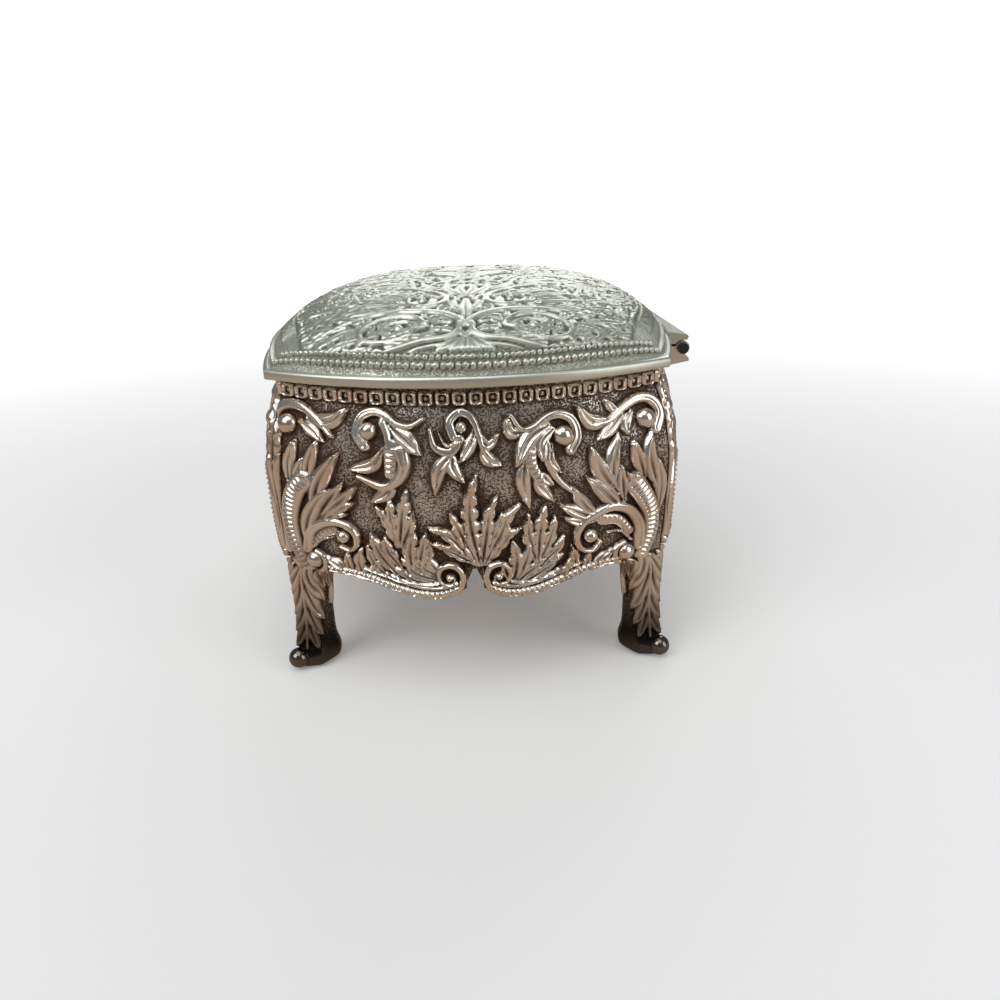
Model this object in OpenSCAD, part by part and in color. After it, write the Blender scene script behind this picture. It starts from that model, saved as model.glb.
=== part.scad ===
// Rosary box: a footed casket of cast white metal with bowed, swelling walls,
// scalloped aprons, cabriole legs and a domed lid on a pinned back hinge.
// Millimetres. X runs from the front to the hinge, Y along the box, Z up from the floor.

/* [Lid rim] */
// Width of the lid rim between its corners, front to back
rim_w = 87; // [70:1:120]
// Length of the lid rim between its corners, end to end
rim_l = 100; // [80:1:150]
// Outward bow of the two ends
end_bow = 13.3; // [6:0.1:16]
// Outward bow of the front and the back
side_bow = 7.5; // [3:0.1:10]
// Reach of the lid rim past the walls
overhang = 2.5; // [1.5:0.1:3.5]
// Height of the plain band round the lid
band_h = 2.6; // [1.5:0.1:4]

/* [Lid dome] */
// Rise of the dome above the band
dome_rise = 13.5; // [8:0.1:20]
// Thickness of the lid casting
lid_t = 1.9; // [1.2:0.1:3]
// Width of the flat land under the lid that rests on the walls
land_w = 5; // [4.8:0.1:7]
// Gap between the closed lid and the walls
lid_gap = 0.3; // [0.2:0.05:0.5]

/* [Walls] */
// Height of the walls, from the tops of the legs to the rim
wall_h = 42.7; // [34:0.1:60]
// Thickness of the wall castings
wall_t = 2.2; // [1.6:0.1:2.6]
// Outward swell of the walls at their fullest height
belly = 3.5; // [1:0.1:5]
// Depth of the fullest height below the rim
belly_drop = 22; // [14:0.5:28]
// How far the walls tuck in again at the tops of the legs
tuck = 0.7; // [0:0.1:2]
// Height of the upright border at the top of the walls
border_h = 3.7; // [2:0.1:6]

/* [Relief] */
// Height of the main scrolls above the ground of the castings
relief_h = 0.9; // [0.3:0.1:1.4]
// Half width of a main scroll on a wall
wall_scroll_w = 2.6; // [1.8:0.1:3.5]
// Half width of a main scroll on the lid
lid_scroll_w = 3.2; // [2:0.1:4.5]

/* [Aprons] */
// Drop of the apron scrolls below the tops of the legs
lobe_drop = 4.3; // [2:0.1:8]
// Distance from the middle of an end to the lowest point of its scroll
lobe_x = 9.4; // [7:0.1:12]
// Height of the notch between the two scrolls above the tops of the legs
notch_rise = 3; // [1:0.1:4]
// Half width of the notch
notch_w = 1.6; // [1:0.1:3]

/* [Legs] */
// Height of the legs
leg_h = 29.6; // [18:0.1:45]
// Width of a leg where it meets the walls
knee_w = 13; // [11:0.1:16]
// Width of a leg at the ankle and foot
ankle_w = 8.6; // [7:0.1:11]
// How far a leg draws in between its knee and its foot
leg_tuck = 2; // [0.5:0.1:3]
// Height of the arch that runs from the apron into the leg
arch_h = 9; // [5:0.5:14]
// Radius of the ball at the front of each foot
foot_ball_r = 2.5; // [1.5:0.1:3.2]

/* [Base] */
// Height of the underside of the base plate above the tops of the legs
plate_rise = 4.2; // [3.5:0.1:8]
// Thickness of the base plate
plate_t = 1.2; // [0.8:0.1:2]

/* [Hinge] */
// Length of the hinge along the back
hinge_l = 48; // [30:1:60]
// Length of the lid knuckle at the middle of the hinge
mid_knuckle_l = 16; // [8:1:24]
// Radius of the hinge pin
pin_r = 1; // [0.8:0.05:1.2]
// Radius of the heads of the hinge pin
pin_head_r = 1.35; // [1.25:0.05:1.5]
// Length of each head of the hinge pin
pin_head_l = 1; // [0.6:0.1:2]
// Radius of the hinge knuckles
knuckle_r = 1.75; // [1.6:0.05:2]
// Distance of the pin behind the lid rim
pin_back = 1.9; // [1.9:0.1:3]
// Depth of the pin below the underside of the lid
pin_drop = 1; // [0.6:0.1:1.4]
// Height of the top of the lid leaf above the pin
hood_rise = 3.2; // [2.8:0.1:4]
// Depth of the tip of the case leaf below the pin
toe_drop = 3.3; // [2.9:0.1:4]
// Depth of the case leaf below the pin where it meets the back wall
leaf_drop = 5; // [4.5:0.1:8]

/* [Linings] */
// Thickness of the fabric linings of the walls and lid
lining_t = 1.2; // [0.8:0.1:2]
// Thickness of the padded floor lining
pad_t = 2.4; // [1.5:0.1:4]
// Depth of the top of the wall linings below the rim
lining_drop = 1.5; // [1:0.1:4]

/* [Clearances] */
// Gap of the soldered seams between castings
seam = 0.05; // [0.03:0.01:0.1]
// Running clearance of the pin in the knuckles
pin_fit = 0.05; // [0.02:0.01:0.09]
// Gap between moving hinge faces
hinge_gap = 0.3; // [0.2:0.05:0.5]
// Gap between the linings and the metal
lining_gap = 0.3; // [0.2:0.05:0.5]

/* [Hidden] */
$fn = 48;

silver = [0.78, 0.76, 0.73];
lid_silver = [0.80, 0.82, 0.77];
steel = [0.16, 0.16, 0.17];
velvet = [0.42, 0.07, 0.10];

// Heights
wall_z0 = leg_h;
wall_z1 = wall_z0 + wall_h;
lid_z = wall_z1 + lid_gap;
plate_z0 = wall_z0 + plate_rise;
plate_z1 = plate_z0 + plate_t;
pin_z = lid_z - pin_drop;

// Plan: half sizes of the rim and of the walls between their corners
rim_x = rim_w / 2;
rim_y = rim_l / 2;
wall_x = rim_x - overhang;
wall_y = rim_y - overhang;
pin_x = rim_x + side_bow + pin_back;
toe_x = pin_x + knuckle_r;

// Swell of a wall at a depth below the rim: upright in the border, then out to the belly
function swell(drop) = drop < border_h ? 0
    : drop < belly_drop ? belly * (1 - pow((belly_drop - drop) / (belly_drop - border_h), 2))
    : belly - tuck * pow((drop - belly_drop) / (wall_h - belly_drop), 2);

// A point of the bowed plan: s runs along the wall from -1 to 1, out is the distance outside
// the corner lines
function end_point(s, out) = [s * (wall_x + out), -(wall_y + out + end_bow * (1 - s * s))];
function side_point(s, out) = [-(wall_x + out + side_bow * (1 - s * s)), s * (wall_y + out)];

// Lower edge of an apron at a distance from the middle of its wall, above the tops of the legs
function apron(a, low_x, spring_x) = a >= spring_x ? 0
    : a >= low_x ? -lobe_drop * pow((spring_x - a) / (spring_x - low_x), 2)
    : a >= notch_w ? -lobe_drop * (1 - 0.6 * pow((low_x - a) / (low_x - notch_w), 2))
    : notch_rise;

// Faces of a closed slab whose points are two grids, the outer one first
function slab_faces(nu, nv) = let (w = nv + 1, half = (nu + 1) * (nv + 1)) concat(
    [for (i = [0:nu - 1], j = [0:nv - 1]) each let (a = i * w + j, b = a + w)
        [[a, a + 1, b + 1], [a, b + 1, b]]],
    [for (i = [0:nu - 1], j = [0:nv - 1]) each let (a = half + i * w + j, b = a + w)
        [[a, b + 1, a + 1], [a, b, b + 1]]],
    [for (i = [0:nu - 1]) each let (a = i * w, b = a + w, c = half + a, d = half + b)
        [[a, b, d], [a, d, c]]],
    [for (i = [0:nu - 1]) each let (a = i * w + nv, b = a + w, c = half + a, d = half + b)
        [[a, d, b], [a, c, d]]],
    [for (j = [0:nv - 1]) each let (a = j, b = j + 1, c = half + a, d = half + b)
        [[a, d, b], [a, c, d]]],
    [for (j = [0:nv - 1]) each let (a = nu * w + j, b = a + 1, c = half + a, d = half + b)
        [[a, b, d], [a, d, c]]]);

// Depth below the rim of a grid row: one row always lies on the foot of the upright border
function row_drop(first, last, j, rows) = j == 0 ? first
    : border_h + (last - border_h) * (j - 1) / (rows - 1);

// Main scrolls of the relief. A path is a few points; a scroll is a rounded ridge along it.
function gap_to(p, a, b) = let (d = b - a, t = max(0, min(1, ((p - a) * d) / (d * d))))
    norm(p - a - d * t);
function ridge(p, path, width) =
    let (gap = min([for (i = [0:len(path) - 2]) gap_to(p, path[i], path[i + 1])]))
    max(0, 1 - pow(gap / width, 2));

// Panel scrolls on one side of the middle of an end: across from the middle, down from the rim
corner_scrolls = [
    [[38, 9.5], [29, 9.5]],
    [[34, 14], [36, 20], [38.5, 29], [38, 36], [34, 40]],
    [[34, 32], [28, 30], [25, 33]],
];
middle_scrolls = [
    [[20, 10], [13.5, 9.5], [14, 17], [19, 19]],
    [[0, 9.5], [5, 12]],
    [[0, 37], [0, 18]],
    [[2, 36], [9, 27]],
    [[13, 38], [13.5, 24]],
    [[3, 39], [9, 44.5], [20, 42]],
];
// A longer wall carries its corner scrolls further out. The ground stays clear under the hinge.
hinge_ground_h = 12;
function panel_relief(across, down, extra, under_hinge) =
    under_hinge && across < hinge_l / 2 + wall_scroll_w && down < hinge_ground_h ? 0
    : relief_h * max(concat(
        [for (path = corner_scrolls) ridge([across - extra, down], path, wall_scroll_w)],
        [for (path = middle_scrolls) ridge([across, down], path, wall_scroll_w)]));

// Grid of a cast wall: its lower edge follows the apron and its ends are mitred at the corners
wall_columns = 40;
wall_rows = 12;
function wall_half(on_end) = on_end ? wall_x : wall_y;
function wall_plan(on_end, s, out) = on_end ? end_point(s, out) : side_point(s, out);
function wall_low_z(on_end, s) = let (half = wall_half(on_end))
    wall_z0 + apron(abs(s) * half, lobe_x * half / wall_x,
        half * (1 - knee_w / (half + swell(wall_h))));
function wall_face(on_end, inset, relief, under_hinge) =
    let (half = wall_half(on_end), trim = (half - seam) / half)
    [for (i = [0:wall_columns], j = [0:wall_rows])
        let (s = (2 * i / wall_columns - 1) * trim,
            drop = row_drop(0, wall_z1 - wall_low_z(on_end, s), j, wall_rows),
            out = swell(min(drop, wall_h)),
            raised = relief * panel_relief(abs(s) * (half + out), drop, half - wall_x, under_hinge),
            p = wall_plan(on_end, s, out + raised - inset))
        [p.x, p.y, wall_z1 - drop]];

module wall(on_end, under_hinge = false) {
    points = concat(wall_face(on_end, 0, 1, under_hinge), wall_face(on_end, wall_t, 0, under_hinge));
    faces = slab_faces(wall_columns, wall_rows);
    polyhedron(points, on_end ? faces : [for (f = faces) [f[2], f[1], f[0]]]);
}

// The origin lies on the floor under the middle of the whole box, hinge included
front_x = max(side_bow + rim_x, max([for (p = wall_face(false, 0, 1, false)) -p.x]));
shift_x = (front_x - toe_x) / 2;

module placed() {
    translate([shift_x, 0, 0]) children();
}

// A fabric lining: a thinner wall inside a wall, from the base plate almost to the rim
lining_columns = 16;
lining_rows = 6;
module wall_lining(on_end) {
    half = on_end ? wall_x : wall_y;
    outer = wall_t + lining_gap;
    trim = (half - outer - lining_gap) / (half - outer);
    low_drop = wall_z1 - plate_z1 - lining_gap;
    function plan(s, out) = on_end ? end_point(s, out) : side_point(s, out);
    function face(inset) = [for (i = [0:lining_columns], j = [0:lining_rows])
        let (s = (2 * i / lining_columns - 1) * trim,
            drop = row_drop(lining_drop, low_drop, j, lining_rows),
            p = plan(s, swell(drop) - inset))
        [p.x, p.y, wall_z1 - drop]];
    points = concat(face(outer), face(outer + lining_t));
    faces = slab_faces(lining_columns, lining_rows);
    polyhedron(points, on_end ? faces : [for (f = faces) [f[2], f[1], f[0]]]);
}

// Outline of the room inside the walls at a height, drawn in by an inset
outline_steps = 16;
function inside_outline(z, inset) = let (out = swell(wall_z1 - z) - wall_t - inset, n = outline_steps)
    concat([for (i = [0:n - 1]) end_point(2 * i / n - 1, out)],
        [for (i = [0:n - 1]) let (p = side_point(2 * i / n - 1, out)) [-p.x, p.y]],
        [for (i = [0:n - 1]) -end_point(2 * i / n - 1, out)],
        [for (i = [0:n - 1]) let (p = side_point(2 * i / n - 1, out)) [p.x, -p.y]]);

// Corner cutting rounds a ring of points, by a share of each side
function cut_corners(p, cut) = let (n = len(p)) [for (i = [0:n - 1]) let (q = p[(i + 1) % n])
    each [p[i] * (1 - cut) + q * cut, p[i] * cut + q * (1 - cut)]];

// Section of a leg at a share u of its height, from 0 at the knee to 1 on the floor, as offsets
// inwards from the corner line. The two outer faces carry on the walls and narrow through the
// arch; the two side faces fall back to the inner corner.
leg_rings = 12;
function leg_section(u) = let (
    arch = max(0, 1 - u * leg_h / arch_h),
    open = 1 - sqrt(1 - arch * arch),
    face_w = ankle_w * 0.58 + (knee_w - ankle_w * 0.58) * open,
    back_w = ankle_w + (knee_w - ankle_w) * open,
    lead = 0.25 + 0.75 * arch,
    end_out = end_bow * (1 - pow(1 - face_w / (wall_x + swell(wall_h)), 2)) * lead * (1 - 0.9 * u),
    side_out = side_bow * (1 - pow(1 - face_w / (wall_y + swell(wall_h)), 2)) * lead * (1 - 0.9 * u),
    fall = ankle_w * 0.4,
    inner = ankle_w * 0.92,
    ankle = leg_tuck * sin(180 * min(1, u * 1.1)))
    [[ankle, ankle], [face_w + ankle * 0.5, ankle * 0.7 - end_out], [back_w, fall - end_out * 0.6],
     [inner, inner], [fall - side_out * 0.6, back_w], [ankle * 0.7 - side_out, face_w + ankle * 0.5]];

module leg() {
    corner = [wall_x + swell(wall_h), wall_y + swell(wall_h)];
    top_z = wall_z0 - seam;
    rings = [for (k = [0:leg_rings]) let (u = k / leg_rings)
        [for (q = cut_corners(cut_corners(leg_section(u), 0.13), 0.25))
            [q.x - corner.x, q.y - corner.y, top_z * (1 - u)]]];
    n = len(rings[0]);
    points = [for (ring = rings) each ring];
    faces = concat([[for (i = [0:n - 1]) n - 1 - i]], [[for (i = [0:n - 1]) leg_rings * n + i]],
        [for (k = [0:leg_rings - 1], i = [0:n - 1]) each
            let (a = k * n + i, b = k * n + (i + 1) % n)
            [[a, b, b + n], [a, b + n, a + n]]]);
    polyhedron(points, faces);
}

// Height of the dome over the plan, from 1 in the middle to 0 at the rim
dome_x_power = 2.9;
dome_y_power = 3.3;
dome_shoulder = 0.64;
function dome(u, v) = pow(max(0, 1 - pow(abs(u), dome_x_power)), dome_shoulder)
    * pow(max(0, 1 - pow(abs(v), dome_y_power)), dome_shoulder);
// Grid steps crowd towards the rim, where the dome is steep
function crowd(a) = 0.45 * a + 0.55 * sin(90 * a);
function lid_plan(u, v, inset) = [u * (rim_x - inset + side_bow * (1 - v * v)),
    v * (rim_y - inset + end_bow * (1 - u * u))];

// Main scrolls of the lid in one quarter: across and towards an end from its middle
lid_scrolls = [
    [[0, 52], [7, 46], [20, 45], [32, 49]],
    [[11, 52], [18, 52]],
    [[9, 43], [4.5, 38], [9, 31.5], [19, 27.5], [30, 31]],
    [[13, 38], [30, 38]],
    [[5, 19], [13, 16], [22, 12], [32, 19]],
    [[2, 8], [11, 4], [34, 3]],
];
function lid_relief(p) = relief_h
    * max([for (path = lid_scrolls) ridge([abs(p.x), abs(p.y)], path, lid_scroll_w)]);

// A domed sheet between two surfaces over the lid plan
module dome_sheet(steps, inset, base_z, rise, inset_in, base_in, rise_in, foot_z, relief = 0) {
    function grid(inset, base, rise, relief) = [for (i = [0:steps], j = [0:steps])
        let (u = crowd(2 * i / steps - 1), v = crowd(2 * j / steps - 1), p = lid_plan(u, v, inset))
        [p.x, p.y, base + rise * dome(u, v) + relief * lid_relief(p)]];
    n = steps + 1;
    ring = concat([for (i = [0:steps - 1]) i * n], [for (j = [0:steps - 1]) steps * n + j],
        [for (i = [0:steps - 1]) (steps - i) * n + steps], [for (j = [0:steps - 1]) steps - j]);
    outer = grid(inset, base_z, rise, relief);
    inner = grid(inset_in, base_in, rise_in, 0);
    outer_foot = [for (k = ring) [outer[k].x, outer[k].y, foot_z]];
    inner_foot = [for (k = ring) [inner[k].x, inner[k].y, foot_z]];
    m = len(ring);
    a0 = n * n;
    b0 = 2 * n * n;
    c0 = b0 + m;
    points = concat(outer, inner, outer_foot, inner_foot);
    faces = concat(
        [for (i = [0:steps - 1], j = [0:steps - 1]) each let (a = i * n + j, b = a + n)
            [[a, a + 1, b + 1], [a, b + 1, b]]],
        [for (i = [0:steps - 1], j = [0:steps - 1]) each let (a = a0 + i * n + j, b = a + n)
            [[a, b + 1, a + 1], [a, b, b + 1]]],
        [for (k = [0:m - 1]) each let (l = (k + 1) % m)
            [[ring[k], ring[l], b0 + l], [ring[k], b0 + l, b0 + k]]],
        [for (k = [0:m - 1]) each let (l = (k + 1) % m)
            [[a0 + ring[k], c0 + l, a0 + ring[l]], [a0 + ring[k], c0 + k, c0 + l]]],
        [for (k = [0:m - 1]) each let (l = (k + 1) % m)
            [[b0 + k, b0 + l, c0 + l], [b0 + k, c0 + l, c0 + k]]]);
    polyhedron(points, faces);
}

module front_wall() {
    color(silver) placed() wall(false);
}

module back_wall() {
    color(silver) placed() mirror([1, 0, 0]) wall(false, true);
}

module right_end_wall() {
    color(silver) placed() wall(true);
}

module left_end_wall() {
    color(silver) placed() mirror([0, 1, 0]) wall(true);
}

// A leg with the ball at the front of its foot, its axis turned towards the corner
module footed_leg() {
    leg();
    reach = swell(wall_h) - foot_ball_r * 0.12;
    translate([-wall_x - reach, -wall_y - reach, foot_ball_r + 0.6]) rotate([90, 0, -45])
        sphere(r = foot_ball_r);
}

module leg_front_right() {
    color(silver) placed() footed_leg();
}

module leg_back_right() {
    color(silver) placed() mirror([1, 0, 0]) footed_leg();
}

module leg_front_left() {
    color(silver) placed() mirror([0, 1, 0]) footed_leg();
}

module leg_back_left() {
    color(silver) placed() mirror([1, 0, 0]) mirror([0, 1, 0]) footed_leg();
}

module base_plate() {
    color(silver) placed() translate([0, 0, plate_z0]) linear_extrude(plate_t)
        polygon(inside_outline(plate_z0, 2 * seam));
}

// A prism along the hinge whose section is drawn in X and Z from the pin axis
module along_hinge(length) {
    translate([pin_x, length / 2, pin_z]) rotate([90, 0, 0]) linear_extrude(length) children();
}

// Plan of the room behind a bowed back edge that starts at start_x between its corners
back_steps = 16;
module behind(start_x, half_y, low_z, high_z) {
    span = hinge_l / 2 + 1;
    edge = [for (i = [0:back_steps]) let (y = -span + 2 * span * i / back_steps)
        [start_x + side_bow * (1 - pow(y / half_y, 2)), y]];
    translate([0, 0, low_z]) linear_extrude(high_z - low_z)
        polygon(concat(edge, [[toe_x + 10, span], [toe_x + 10, -span]]));
}

module hinge_barrel(length, radius) {
    translate([pin_x, length / 2, pin_z]) rotate([90, 0, 0]) cylinder(h = length, r = radius);
}

side_knuckle_l = (hinge_l - mid_knuckle_l) / 2;

// Case leaf: a tapering bracket under the lid rim that carries the two outer knuckles. Its
// back is stepped to seat on the swell of the wall.
leaf_steps = 4;
module case_hinge_leaf() {
    inner = wall_x - pin_x;
    top = pin_drop - lid_gap - hinge_gap;
    step = (top + leaf_drop) / leaf_steps;
    color(silver) placed() difference() {
        union() {
            intersection() {
                along_hinge(hinge_l) polygon([[inner, top], [-knuckle_r * 0.5, top],
                    [0, -knuckle_r * 0.5], [knuckle_r, -toe_drop + 0.7], [knuckle_r, -toe_drop],
                    [inner, -leaf_drop - 1]]);
                for (k = [0:leaf_steps - 1]) let (high = top - k * step, low = high - step)
                    behind(wall_x + seam + swell(wall_z1 - pin_z - low), wall_y,
                        pin_z + low, pin_z + high);
            }
            for (side = [-1, 1]) translate([0, side * (mid_knuckle_l + side_knuckle_l) / 2, 0])
                hinge_barrel(side_knuckle_l, knuckle_r);
        }
        hinge_barrel(hinge_l + 1, pin_r + pin_fit);
        hinge_barrel(mid_knuckle_l + 2 * hinge_gap, knuckle_r + hinge_gap);
    }
}

// Lid leaf: a hood over the hinge that carries the middle knuckle
module lid_hinge_leaf() {
    inner = rim_x - pin_x;
    low = pin_drop;
    side_cut = side_knuckle_l + 1;
    color(lid_silver) placed() difference() {
        union() {
            intersection() {
                along_hinge(hinge_l) polygon([[inner, low], [-knuckle_r * 0.6, low],
                    [knuckle_r * 0.6, hood_rise - 1.2], [knuckle_r * 0.8, hood_rise - 0.5],
                    [knuckle_r * 0.6, hood_rise], [inner, band_h + pin_drop + 1.4]]);
                behind(rim_x + seam, rim_y, lid_z, lid_z + band_h + 2 * hood_rise);
            }
            hinge_barrel(mid_knuckle_l, knuckle_r);
        }
        hinge_barrel(hinge_l + 1, pin_r + pin_fit);
        for (side = [-1, 1])
            translate([0, side * (mid_knuckle_l / 2 + side_cut / 2), 0])
                hinge_barrel(side_cut, knuckle_r + hinge_gap);
    }
}

module hinge_pin() {
    color(steel) placed() {
        hinge_barrel(hinge_l + 2 * seam, pin_r);
        for (side = [-1, 1]) translate([0, side * (hinge_l / 2 + seam + pin_head_l / 2), 0])
            hinge_barrel(pin_head_l, pin_head_r);
    }
}

lid_steps = 32;
module lid_shell() {
    color(lid_silver) placed() dome_sheet(lid_steps, 0, lid_z + band_h, dome_rise, land_w,
        lid_z + band_h, dome_rise - lid_t, lid_z, 1);
}

lining_steps = 14;
module lid_lining() {
    inset = land_w + lining_gap;
    rise = dome_rise - lid_t - lining_gap * 2;
    color(velvet) placed() dome_sheet(lining_steps, inset, lid_z + band_h, rise, inset + lining_t,
        lid_z + band_h, rise - lining_t, lid_z + lining_gap);
}

module floor_lining() {
    z0 = plate_z1 + lining_gap;
    color(velvet) placed() translate([0, 0, z0]) linear_extrude(pad_t)
        polygon(inside_outline(plate_z1, 3 * lining_gap + lining_t));
}

module front_lining() {
    color(velvet) placed() wall_lining(false);
}

module back_lining() {
    color(velvet) placed() mirror([1, 0, 0]) wall_lining(false);
}

module right_end_lining() {
    color(velvet) placed() wall_lining(true);
}

module left_end_lining() {
    color(velvet) placed() mirror([0, 1, 0]) wall_lining(true);
}

front_wall();
back_wall();
right_end_wall();
left_end_wall();
leg_front_right();
leg_back_right();
leg_front_left();
leg_back_left();
base_plate();
case_hinge_leaf();
lid_hinge_leaf();
hinge_pin();
lid_shell();
floor_lining();
front_lining();
back_lining();
right_end_lining();
left_end_lining();
lid_lining();
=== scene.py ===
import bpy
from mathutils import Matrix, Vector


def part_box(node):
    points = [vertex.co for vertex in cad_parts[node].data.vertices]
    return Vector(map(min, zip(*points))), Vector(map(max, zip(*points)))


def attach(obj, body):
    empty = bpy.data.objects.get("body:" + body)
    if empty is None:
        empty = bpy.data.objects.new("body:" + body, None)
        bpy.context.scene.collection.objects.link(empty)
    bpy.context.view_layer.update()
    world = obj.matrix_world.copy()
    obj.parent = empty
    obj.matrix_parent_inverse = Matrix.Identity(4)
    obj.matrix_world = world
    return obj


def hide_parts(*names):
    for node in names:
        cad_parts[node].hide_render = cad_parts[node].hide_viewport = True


bl_info = {
    "name": "Rosary box",
    "version": (1, 0, 0),
    "blender": (4, 5, 0),
    "location": "3D View > Sidebar > Rosary box",
    "description": "Relief, linings, finishes and stage of a footed, cast metal rosary box",
    "category": "Object",
}

import math
import random
from types import SimpleNamespace

import bmesh
import bpy
import numpy as np
from mathutils import Matrix, Vector

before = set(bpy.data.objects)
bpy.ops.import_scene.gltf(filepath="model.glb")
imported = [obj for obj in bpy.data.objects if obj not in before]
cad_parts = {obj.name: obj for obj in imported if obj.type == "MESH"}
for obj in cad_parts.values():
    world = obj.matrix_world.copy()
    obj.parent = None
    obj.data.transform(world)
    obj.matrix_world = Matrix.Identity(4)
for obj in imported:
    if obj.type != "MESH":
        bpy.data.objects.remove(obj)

MM = 0.001

# How far the hinge pin stands behind the rim of the lid, in millimetres
PIN_BACK = 1.9


def length(label, default, about):
    """A property that holds a length."""
    return bpy.props.FloatProperty(
        name=label, description=about, default=default, min=0, subtype="DISTANCE", unit="LENGTH"
    )


def colour(label, default, about):
    """A property that holds a colour."""
    return bpy.props.FloatVectorProperty(
        name=label, description=about, default=default, min=0, max=1, size=3, subtype="COLOR"
    )


class RosaryBoxSizes(bpy.types.PropertyGroup):
    """Lengths of the box. The foot kick, the ground depth and the relief cell belong to the
    looks alone; the others are those of the cast pieces."""

    rim_width: length("Rim width", 0.087, "Width of the lid rim between its corners")
    rim_length: length("Rim length", 0.1, "Length of the lid rim between its corners")
    end_bow: length("End bow", 0.0133, "Bow of the ends between their corners")
    side_bow: length("Side bow", 0.0075, "Bow of the long sides between their corners")
    overhang: length("Overhang", 0.0025, "How far the lid stands out over the walls")
    band_height: length("Rim band", 0.0026, "Height of the plain band round the lid")
    dome_rise: length("Dome rise", 0.0135, "Rise of the dome above its band")
    lid_thickness: length("Lid thickness", 0.0019, "Thickness of the dome")
    land: length("Land", 0.005, "Width of the flat foot of the lid")
    lid_gap: length("Lid gap", 0.0003, "Gap between the walls and the closed lid")
    wall_height: length("Wall height", 0.0427, "Height of the walls above the legs")
    wall_thickness: length("Wall thickness", 0.0022, "Thickness of the cast walls")
    belly: length("Belly", 0.0035, "How far the walls swell out below the rim")
    belly_drop: length("Belly depth", 0.022, "Depth of the fullest part of the swell")
    tuck: length("Tuck", 0.0007, "How far the walls draw in again below the swell")
    border_height: length("Border", 0.0037, "Height of the upright border under the rim")
    lobe_drop: length("Lobe drop", 0.0043, "How far the apron lobes hang down")
    lobe_x: length("Lobe place", 0.0094, "Distance of an apron lobe from the middle of its end")
    notch_rise: length("Notch rise", 0.003, "Rise of the notch between the lobes")
    notch_width: length("Notch width", 0.0016, "Half width of the notch between the lobes")
    leg_height: length("Leg height", 0.0296, "Height of the legs")
    knee_width: length("Knee width", 0.013, "Width of a leg at the knee")
    ankle_width: length("Ankle width", 0.0086, "Width of a leg at the ankle")
    leg_tuck: length("Leg tuck", 0.002, "How far a leg draws in between its knee and its foot")
    arch_height: length("Arch height", 0.009, "Height over which a knee narrows to the ankle")
    foot_ball: length("Foot ball", 0.0025, "Radius of the ball on a foot")
    foot_kick: length("Foot kick", 0.0013, "How far a foot stands out beyond its knee")
    plate_rise: length("Plate rise", 0.0042, "Height of the base plate above the legs")
    plate_thickness: length("Plate thickness", 0.0012, "Thickness of the base plate")
    hinge_length: length("Hinge length", 0.048, "Length of the hinge")
    lining_thickness: length("Lining", 0.0012, "Thickness of the velvet linings")
    pad_thickness: length("Floor pad", 0.0024, "Thickness of the velvet floor pad")
    lining_drop: length("Lining drop", 0.0015, "Depth of the top of the linings below the rim")
    lining_gap: length("Lining gap", 0.0003, "Gap behind the linings")
    seam: length("Seam", 0.00005, "Gap at a soldered seam")
    ground_depth: length("Ground depth", 0.0003, "Depth of the stippled ground in the castings")
    cell: length("Relief cell", 0.00023, "Grid cell of the carved relief")


class RosaryBoxColours(bpy.types.PropertyGroup):
    """Colours of the finishes and of the stage."""

    case_metal: colour("Case metal", (0.93, 0.87, 0.79), "Silver on the raised parts of the case")
    case_recess: colour("Case recesses", (0.1, 0.055, 0.035), "Brown patina in the case recesses")
    # Coppery patches, partly real toning and partly a painted warm reflection of the floor
    toned_metal_and_reflection: colour("Toned metal", (0.8, 0.56, 0.42), "Coppery patches on the silver")
    lid_metal: colour("Lid metal", (0.74, 0.76, 0.67), "Silver on the raised parts of the lid")
    lid_recess: colour("Lid recesses", (0.22, 0.23, 0.17), "Grey-green patina in the lid")
    near_black: colour("Foot darkening", (0.02, 0.017, 0.015), "Dark tarnish towards the feet")
    # Near black that darkens the case from the feet up, and fills the recesses of the pin steel
    steel: colour("Pin steel", (0.07, 0.07, 0.075), "Oxidised steel of the hinge pin")
    velvet: colour("Velvet", (0.26, 0.018, 0.04), "Velvet of the linings")
    floor: colour("Floor", (0.86, 0.86, 0.85), "Plain pale floor")
    mirrored_floor: colour("Mirrored floor", (0.52, 0.4, 0.31), "Warm floor seen in the metal")


def dims():
    """Sizes in millimetres, with the lengths that follow from them."""
    props = bpy.context.scene.rosary_box_sizes
    d = SimpleNamespace(**{k: getattr(props, k) / MM for k in props.__annotations__})
    d.rim_x = d.rim_width / 2
    d.rim_y = d.rim_length / 2
    d.wall_x = d.rim_x - d.overhang
    d.wall_y = d.rim_y - d.overhang
    d.wall_z0 = d.leg_height
    d.wall_z1 = d.leg_height + d.wall_height
    d.lid_z = d.wall_z1 + d.lid_gap
    d.dome_z = d.lid_z + d.band_height
    d.plate_z1 = d.wall_z0 + d.plate_rise + d.plate_thickness
    # How much wider a wall is at its foot than at its rim, each way
    d.spread = float(swell(d, np.array(d.wall_height)))
    # The frame stands on the middle of the whole box, hinge included
    low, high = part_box("hinge_pin")
    d.shift = (low[0] + high[0]) / 2 / MM - (d.rim_x + d.side_bow + PIN_BACK)
    return d


# Relief: strokes drawn on a flat panel, in millimetres

# Steps of a smooth curve from one of its points to the next
PATH_STEPS = 7
BLUR_PASSES = 3

# Near and wide surroundings of a point: their share, their reach and their least reach in cells
SURROUNDINGS = ((0.55, 0.3, 1), (0.45, 1.1, 2))


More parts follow.
